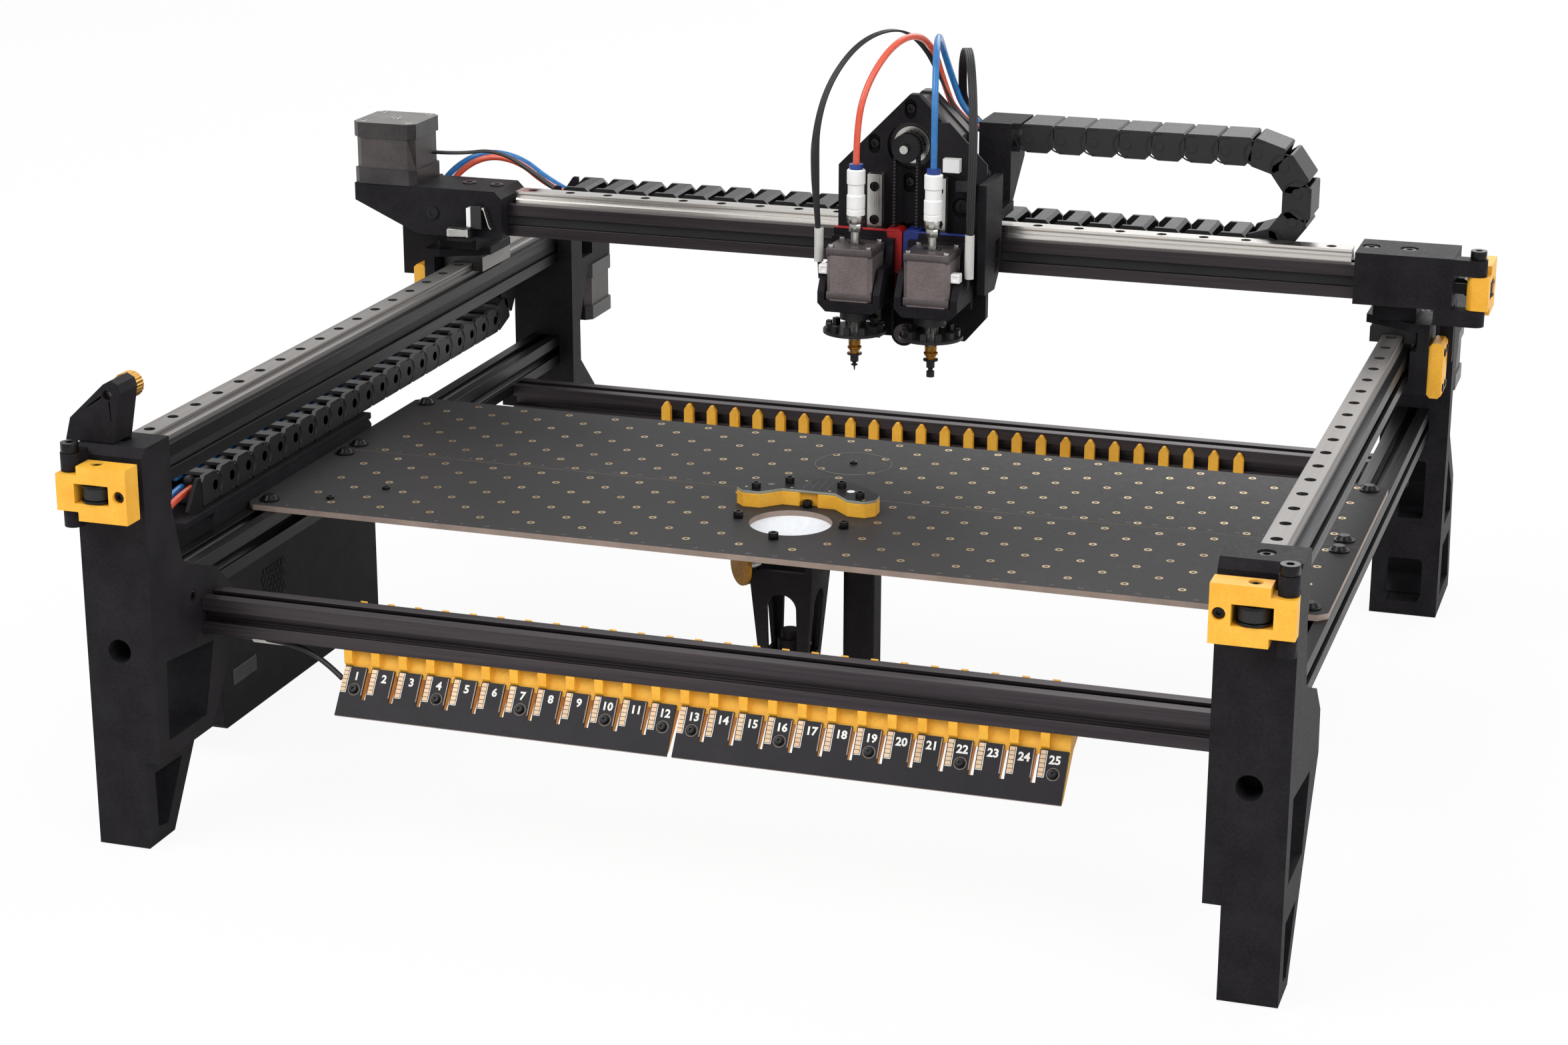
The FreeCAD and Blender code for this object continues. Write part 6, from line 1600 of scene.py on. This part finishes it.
@dataclass(frozen=True)
class DragChain:
    """Drag chain between a lower and an upper body, rebuilt from its CAD node with the sides of its links."""

    node: str
    lower: str
    upper: str
    lower_top: float
    upper_low: float
    edge: float = 0.3

    def build(self, sides: Piece) -> None:
        """Copy the CAD chain, round its edges and join it with its sides.

        Args:
            sides: The pivots and seams of its links.
        """
        name = self.node + "_links"
        chain = settle(add_object(name, bpy.data.objects[self.node].data.copy()), name, CHAIN)
        for polygon in chain.data.polygons:
            polygon.material_index = 0
        rounding = chain.modifiers.new("edge", "BEVEL")
        rounding.width = self.edge / 1000
        rounding.segments = 1
        rounding.limit_method = "ANGLE"
        bpy.ops.object.modifier_apply(modifier="edge")
        whole = join([chain, sides], name)
        smooth(whole)
        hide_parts(self.node)
        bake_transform(whole)


@dataclass
class Gantry(Dresser):
    """Gantry beam, its end blocks, motor, switches, chain and tensioner."""

    y: float = 126.7
    z: float = 249.3
    rail_first: float = -244.6
    rail_count: int = 21
    rail_seat: float = 262.8
    rail_top: float = 267.3
    motor_x: float = -337.0
    motor_top_z: float = 307.8
    idler_x: float = 341.0
    clamp_x: float = 324.4
    bend: Point = (204.0, 140.5, 288.15)
    bend_radius: float = 28.65
    bend_links: int = 5
    link_pitch: float = 19.8
    upper_links: int = 7

    def build(self) -> None:
        """Dress the nodes and add the screws and details."""
        self.dress("gantry_block_left slider_brackets x_chain_tray", 0.5, PRINTED_BLACK)
        self.dress("gantry_block_right", 0.5, PRINTED_BLACK, (SCREW_BLACK, self.is_hinge_screw))
        # The gantry beam takes the lighter beam colour, a painted highlight.
        self.dress("x_beam", 0.25, BEAM_ALONG_X_PAINTED_LIGHT)
        # The rail takes the brighter steel, a painted highlight, and its counterbores take painted shade.
        self.dress("x_rail", 0.3, STEEL_ALONG_X_PAINTED_LIGHT, (BORE_PAINTED_SHADE, self.in_bore))
        # The carriages take the darker steel, a painted shade.
        self.dress("y_carriages", 0.3, STEEL_ALONG_Y_PAINTED_SHADE, (SWITCH, self.is_cap_y))
        self.dress("belt_clamps", 0.4, PRINTED_YELLOW)
        sheets = (DARK_SHEETS, lambda c, n: 278.4 < c.z < 298.4 and abs(c.x - self.motor_x) < 20.2)
        # The motor's upward faces get a lighter colour: a painted highlight from above.
        lit_top = (MOTOR_TOP_PAINTED_LIGHT, lambda c, n: n.z > FACING and c.z > 300.0)
        self.dress("x_motor", 0.4, MOTOR_CAP, sheets, lit_top)
        self.dress("x_belt", 0.0, BELT)
        self.dress("x_pulley", 0.15, PULLEY_LIGHT)
        self.dress("tensioner_x", 0.5, PRINTED_YELLOW, (NICKEL, self.is_axle))
        self.dress("x_idler", 0.15, PULLEY_DARK)
        self.dress("limit_switches", 0.15, SWITCH, (PRINTED_BLACK, lambda c, n: c.z < 240.7))
        self.dress("switch_lever_x switch_lever_y", 0.0, LEVER)
        self.chain_sides()
        self.screws()
        self.motor_top()
        self.switch_pins()

    def in_bore(self, centre: Vector, normal: Vector) -> bool:
        """Tell whether a face lies inside one of the rail's counterbores, which take the painted shade."""
        away = math.hypot(self.off_hole(centre.x, self.rail_first), centre.y - self.y)
        return away < BORE_REACH and centre.z < self.rail_top - 0.05

    def is_hinge_screw(self, centre: Vector, normal: Vector) -> bool:
        """Tell whether a face belongs to the hinge screw's head."""
        away = math.hypot(centre.x - self.idler_x, centre.y - (self.y - 15.0))
        return away < 4.7 and centre.z > self.z + 19.5

    def is_cap_y(self, centre: Vector, normal: Vector) -> bool:
        """Tell whether a face lies on a side carriage's end cap."""
        return abs(centre.y - 149.1) > 16.0

    def is_axle(self, centre: Vector, normal: Vector) -> bool:
        """Tell whether a face belongs to the gantry idler's axle."""
        away = math.hypot(centre.x - self.idler_x, centre.y - self.y)
        return away < 1.7 and abs(centre.z - self.z) < 5.3

    def screws(self) -> None:
        """Add rail, block and tensioner screws."""
        holes = [self.rail_first + RAIL_PITCH * i for i in range(self.rail_count)]
        rails = [Spot(x, self.y, self.rail_seat) for x in holes]
        CapScrew(2.6, 2.4, 1.3, 16).place(rails, "x_rail_screws", "gantry")
        block = [
            Spot(-304.5, 106.2, 253.0, Way.FRONT),
            Spot(-276.6, 106.2, 253.0, Way.FRONT),
            Spot(-288.3, 127.6, 269.0),
            Spot(-269.0, 126.5, 269.0),
        ]
        CapScrew(4.4, 0.8, 2.0).place(block, "block_screws", "gantry")
        right = [Spot(278.5, self.y, 266.1), Spot(300.3, self.y, 266.1)]
        CapScrew(4.4, 2.4, 2.0).place(right, "right_block_screws", "gantry")
        spots = [
            Spot(self.idler_x, self.y, 260.8),
            Spot(self.idler_x + 3.4, self.y + 15.2, self.z, Way.RIGHT),
        ]
        CapScrew(2.8, 2.2, 1.4).place(spots, "tensioner_x_screws", "tensioner_x")
        clamps = [
            Spot(x, y, z, way)
            for x, way in ((self.clamp_x, Way.RIGHT), (-self.clamp_x, Way.LEFT))
            for y in (123.0, 134.0)
            for z in (189.0, 210.0)
        ]
        CapScrew(2.4, 0.8, 1.2).place(clamps, "clamp_screws", "gantry")

    def chain_sides(self) -> None:
        """Add pivots and seams to the upper run and the bend of the chain."""
        x, y, z = self.bend
        steps = [x - self.link_pitch * (i + 0.5) for i in range(self.upper_links)]
        places = [(Vector((step, y, z + self.bend_radius)), 0.0) for step in steps]
        turn = math.pi / self.bend_links
        reach = self.bend_radius * math.cos(turn / 2) + 0.4
        for i in range(self.bend_links):
            angle = -math.pi / 2 + turn * (i + 0.5)
            middle = Vector((x + reach * math.cos(angle), y, z + reach * math.sin(angle)))
            places.append((middle, angle - math.pi / 2))
        sides = LinkSide().place(places, RIGHT, "x_chain_sides")
        DragChain("x_chain", "gantry", "head", 268.4, 307.9).build(sides)

    def motor_top(self) -> None:
        """Add the motor's four silver screws, the end of its shaft and the rear motors' screws."""
        screw = CapScrew(2.5, 0.5, 1.4)
        x, y, z = self.motor_x, self.y, self.motor_top_z
        corners = [(a, b) for a in (-15.5, 15.5) for b in (-15.5, 15.5)]
        screw.place([Spot(x + a, y + b, z) for a, b in corners], "motor_screws", "gantry", NICKEL)
        CapScrew(3.6, 0.5, 2.2).place([Spot(x, y, z)], "motor_bearing", "gantry", NICKEL)
        rear = [Spot(s + a, 314.0 + b, 141.7, Way.DOWN) for s in (-293.8, 293.8) for a, b in corners]
        screw.place(rear, "rear_motor_screws", "frame", NICKEL)

    def switch_pins(self) -> None:
        """Add the white pin strips of the two switches."""
        strip = block_piece((-279.0, 99.5, 247.0), (-276.1, 105.5, 259.0))
        soften(0.3, 2)
        mount(strip, "switch_plug_x", "gantry", FITTING_WHITE)
        low = block_piece((-290.4, 95.2, 242.0), (-278.0, 96.4, 245.8))
        soften(0.2, 2)
        mount(low, "switch_plug_y", "gantry", FITTING_WHITE)


@dataclass
class Head(Dresser):
    """Two-nozzle head."""

    x: float = 8.1
    spread_nozzles: float = 23.5
    nozzle_y: float = 67.0
    motor_z: float = 316.0
    motor_hole: float = 21.92
    sides: tuple[tuple[str, int, Finish], ...] = (("left", -1, GRIP_RED), ("right", 1, GRIP_BLUE))

    def build(self) -> None:
        """Dress the nodes and add the details."""
        self.dress("head_bracket head_plate motor_mount_left motor_mount_right", 0.4, PRINTED_BLACK)
        self.dress("head_guides", 0.25, STEEL_ALONG_Z)
        sockets = (FITTING_WHITE, lambda c, n: c.y < 96.1 and c.z > 300.0)
        chips = (SWITCH, lambda c, n: c.y < 96.1 and c.z < 300.0)
        self.dress("head_board", 0.15, BOARD_MASK, sockets, chips)
        self.dress("z_motor", 0.25, MOTOR_CAP, (NICKEL, self.is_pilot), (DARK_SHEETS, self.is_sheet))
        self.dress("z_belt", 0.0, BELT_UPRIGHT)
        self.dress("z_pulley", 0.15, PULLEY_DARK)
        self.dress("z_idler", 0.15, IDLER_STEEL)
        sheets = (MOTOR_SHEETS, lambda c, n: 236.0 < c.z < 255.5)
        block = (PRINTED_BLACK, lambda c, n: c.y < 88.85)
        for side, sign, grip in self.sides:
            axis = self.x + sign * self.spread_nozzles
            self.dress("nozzle_slide_" + side, 0.2, STEEL_ALONG_Z, block, (grip, self.is_grip))
            self.dress("nozzle_motor_" + side, 0.25, MOTOR_CAP, sheets)
            self.nozzle_details(side, sign, axis, grip)
            self.dress_spindle("spindle_" + side, axis)
        self.screws()
        self.sleeves()

    def is_pilot(self, centre: Vector, normal: Vector) -> bool:
        """Tell whether a face belongs to the pilot of the head's motor."""
        return centre.y < 105.05 and math.hypot(centre.x - self.x, centre.z - self.motor_z) < 11.6

    def is_sheet(self, centre: Vector, normal: Vector) -> bool:
        """Tell whether a face belongs to the sheets of the head's motor."""
        return 114.6 < centre.y < 134.2

    def is_grip(self, centre: Vector, normal: Vector) -> bool:
        """Tell whether a face belongs to a coloured belt grip."""
        return abs(centre.x - self.x) < 11.4

    def nozzle_details(self, side: str, sign: int, axis: float, grip: Finish) -> None:
        """Add a motor's bands and plug, the grip plate's coloured edge and the fitting's nut.

        Args:
            side: Name of the side.
            sign: -1 for the left nozzle and 1 for the right one.
            axis: X of the nozzle's axis.
            grip: Finish of the belt grip.
        """
        for name, low, high in (("cap", 256.4, 261.95), ("bell", 230.0, 235.7)):
            band = block_piece((axis - 14.1, 52.85, low), (axis + 14.1, 81.1, high))
            soften(1.2, 2, lambda c, n: abs(n.z) < UPRIGHT)
            mount(band, "motor_" + name + "_" + side, "slide_" + side, MOTOR_BAND, angle=35.0)
        edge = block_piece((axis - 19.0, 85.35, 266.5), (axis + 19.0, 88.7, 267.45))
        soften(0.2, 1)
        mount(edge, "grip_edge_" + side, "slide_" + side, grip)
        out = axis + sign * 14.0
        near, far = min(out, out + sign * 5.5), max(out, out + sign * 5.5)
        plug = block_piece((near, 56.0, 245.0), (far, 62.0, 250.5))
        soften(0.5, 2)
        sink(-BACK, 0.8, 0.6)
        mount(plug, "motor_plug_" + side, "slide_" + side, FITTING_WHITE)
        ring = round_piece(5.25, 4.7, Spot(axis, self.nozzle_y, 274.7), 32)
        soften(0.35, 2)
        nut = round_piece(4.3, 5.0, Spot(axis, self.nozzle_y, 269.6), 6)
        soften(0.3, 1)
        name = "fitting_nut_" + side
        nickel = join([settle(ring, "ring", NICKEL), settle(nut, "nut", NICKEL)], name)
        mount(nickel, name, "spindle_" + side, angle=35.0)

    def dress_spindle(self, node: str, axis: float) -> None:
        """Dress one spindle from tip to fitting.

        Args:
            node: Name of the CAD node.
            axis: X of its axis.
        """

        def radius(centre: Vector) -> float:
            """Return the distance from the spindle's axis."""
            return math.hypot(centre.x - axis, centre.y - self.nozzle_y)

        self.dress(
            node,
            0.0,
            NICKEL,
            (FITTING_WHITE, lambda c, n: c.z > 279.45),
            (COLLAR_BLUE, lambda c, n: c.z > 306.75),
            (DISC_BLACK, lambda c, n: 208.6 < c.z < 214.6 and radius(c) > 4.4),
            (DISC_BLACK, lambda c, n: 214.6 < c.z < 223.0),
            (BRASS, lambda c, n: 196.0 < c.z < 204.1),
            (DISC_BLACK, lambda c, n: c.z <= 196.0),
        )

    def screws(self) -> None:
        """Add the head's screws."""
        rails = [
            Spot(self.x + x, 95.8, 291.5 - 20.0 * i, Way.FRONT) for x in (-19.6, 19.6) for i in range(5)
        ]
        CapScrew(2.6, 2.2, 1.3, 20).place(rails, "z_rail_screws", "head")
        steps = ((0, 1), (0, -1), (1, 0), (-1, 0))
        reach = self.motor_hole
        slots = [Spot(self.x + reach * a, 102.6, self.motor_z + reach * b, Way.FRONT) for a, b in steps]
        CapScrew(2.75, 2.6, 1.4).place(slots, "z_motor_screws", "head")
        CapScrew(4.6, 1.4, 1.9).place([Spot(40.5, 101.0, 281.0, Way.FRONT)], "plate_screw", "head")
        for side, sign, _ in self.sides:
            axis, y, z, body = self.x + sign * self.spread_nozzles, self.nozzle_y, 261.8, "slide_" + side
            corners = [Spot(axis + a, y + b, z) for a in (-11.5, 11.5) for b in (-11.5, 11.5)]
            CapScrew(1.8, 1.4, 0.8, 16).place(corners, "nozzle_motor_screws_" + side, body, NICKEL)
            CapScrew(5.5, 0.8, 3.4).place([Spot(axis, y, z)], "nozzle_boss_" + side, body, MOTOR_CAP)

    def sleeves(self) -> None:
        """Add the white sleeves at the cables' lower ends."""
        for name, x, low, high in (("left", -38.0, 250.0, 270.0), ("right", 54.0, 246.0, 272.0)):
            sleeve = round_piece(2.75, high - low, Spot(x, 67.0, low), 20)
            sink(UP, 0.4, 0.4)
            mount(sleeve, "cable_sleeve_" + name, "slide_" + name, SLEEVE, angle=35.0)


def main() -> None:
    """Build the whole scene."""
    logging.basicConfig(level=logging.INFO, format="%(name)s %(message)s")
    for part in (Camera(), Cords(), Studio(), Base(), WorkPlates(), FeederRow(), Housing(), Gantry(), Head()):
        part.build()
        LOG.info("built %s", type(part).__name__)


if __name__ == "__main__":
    main()
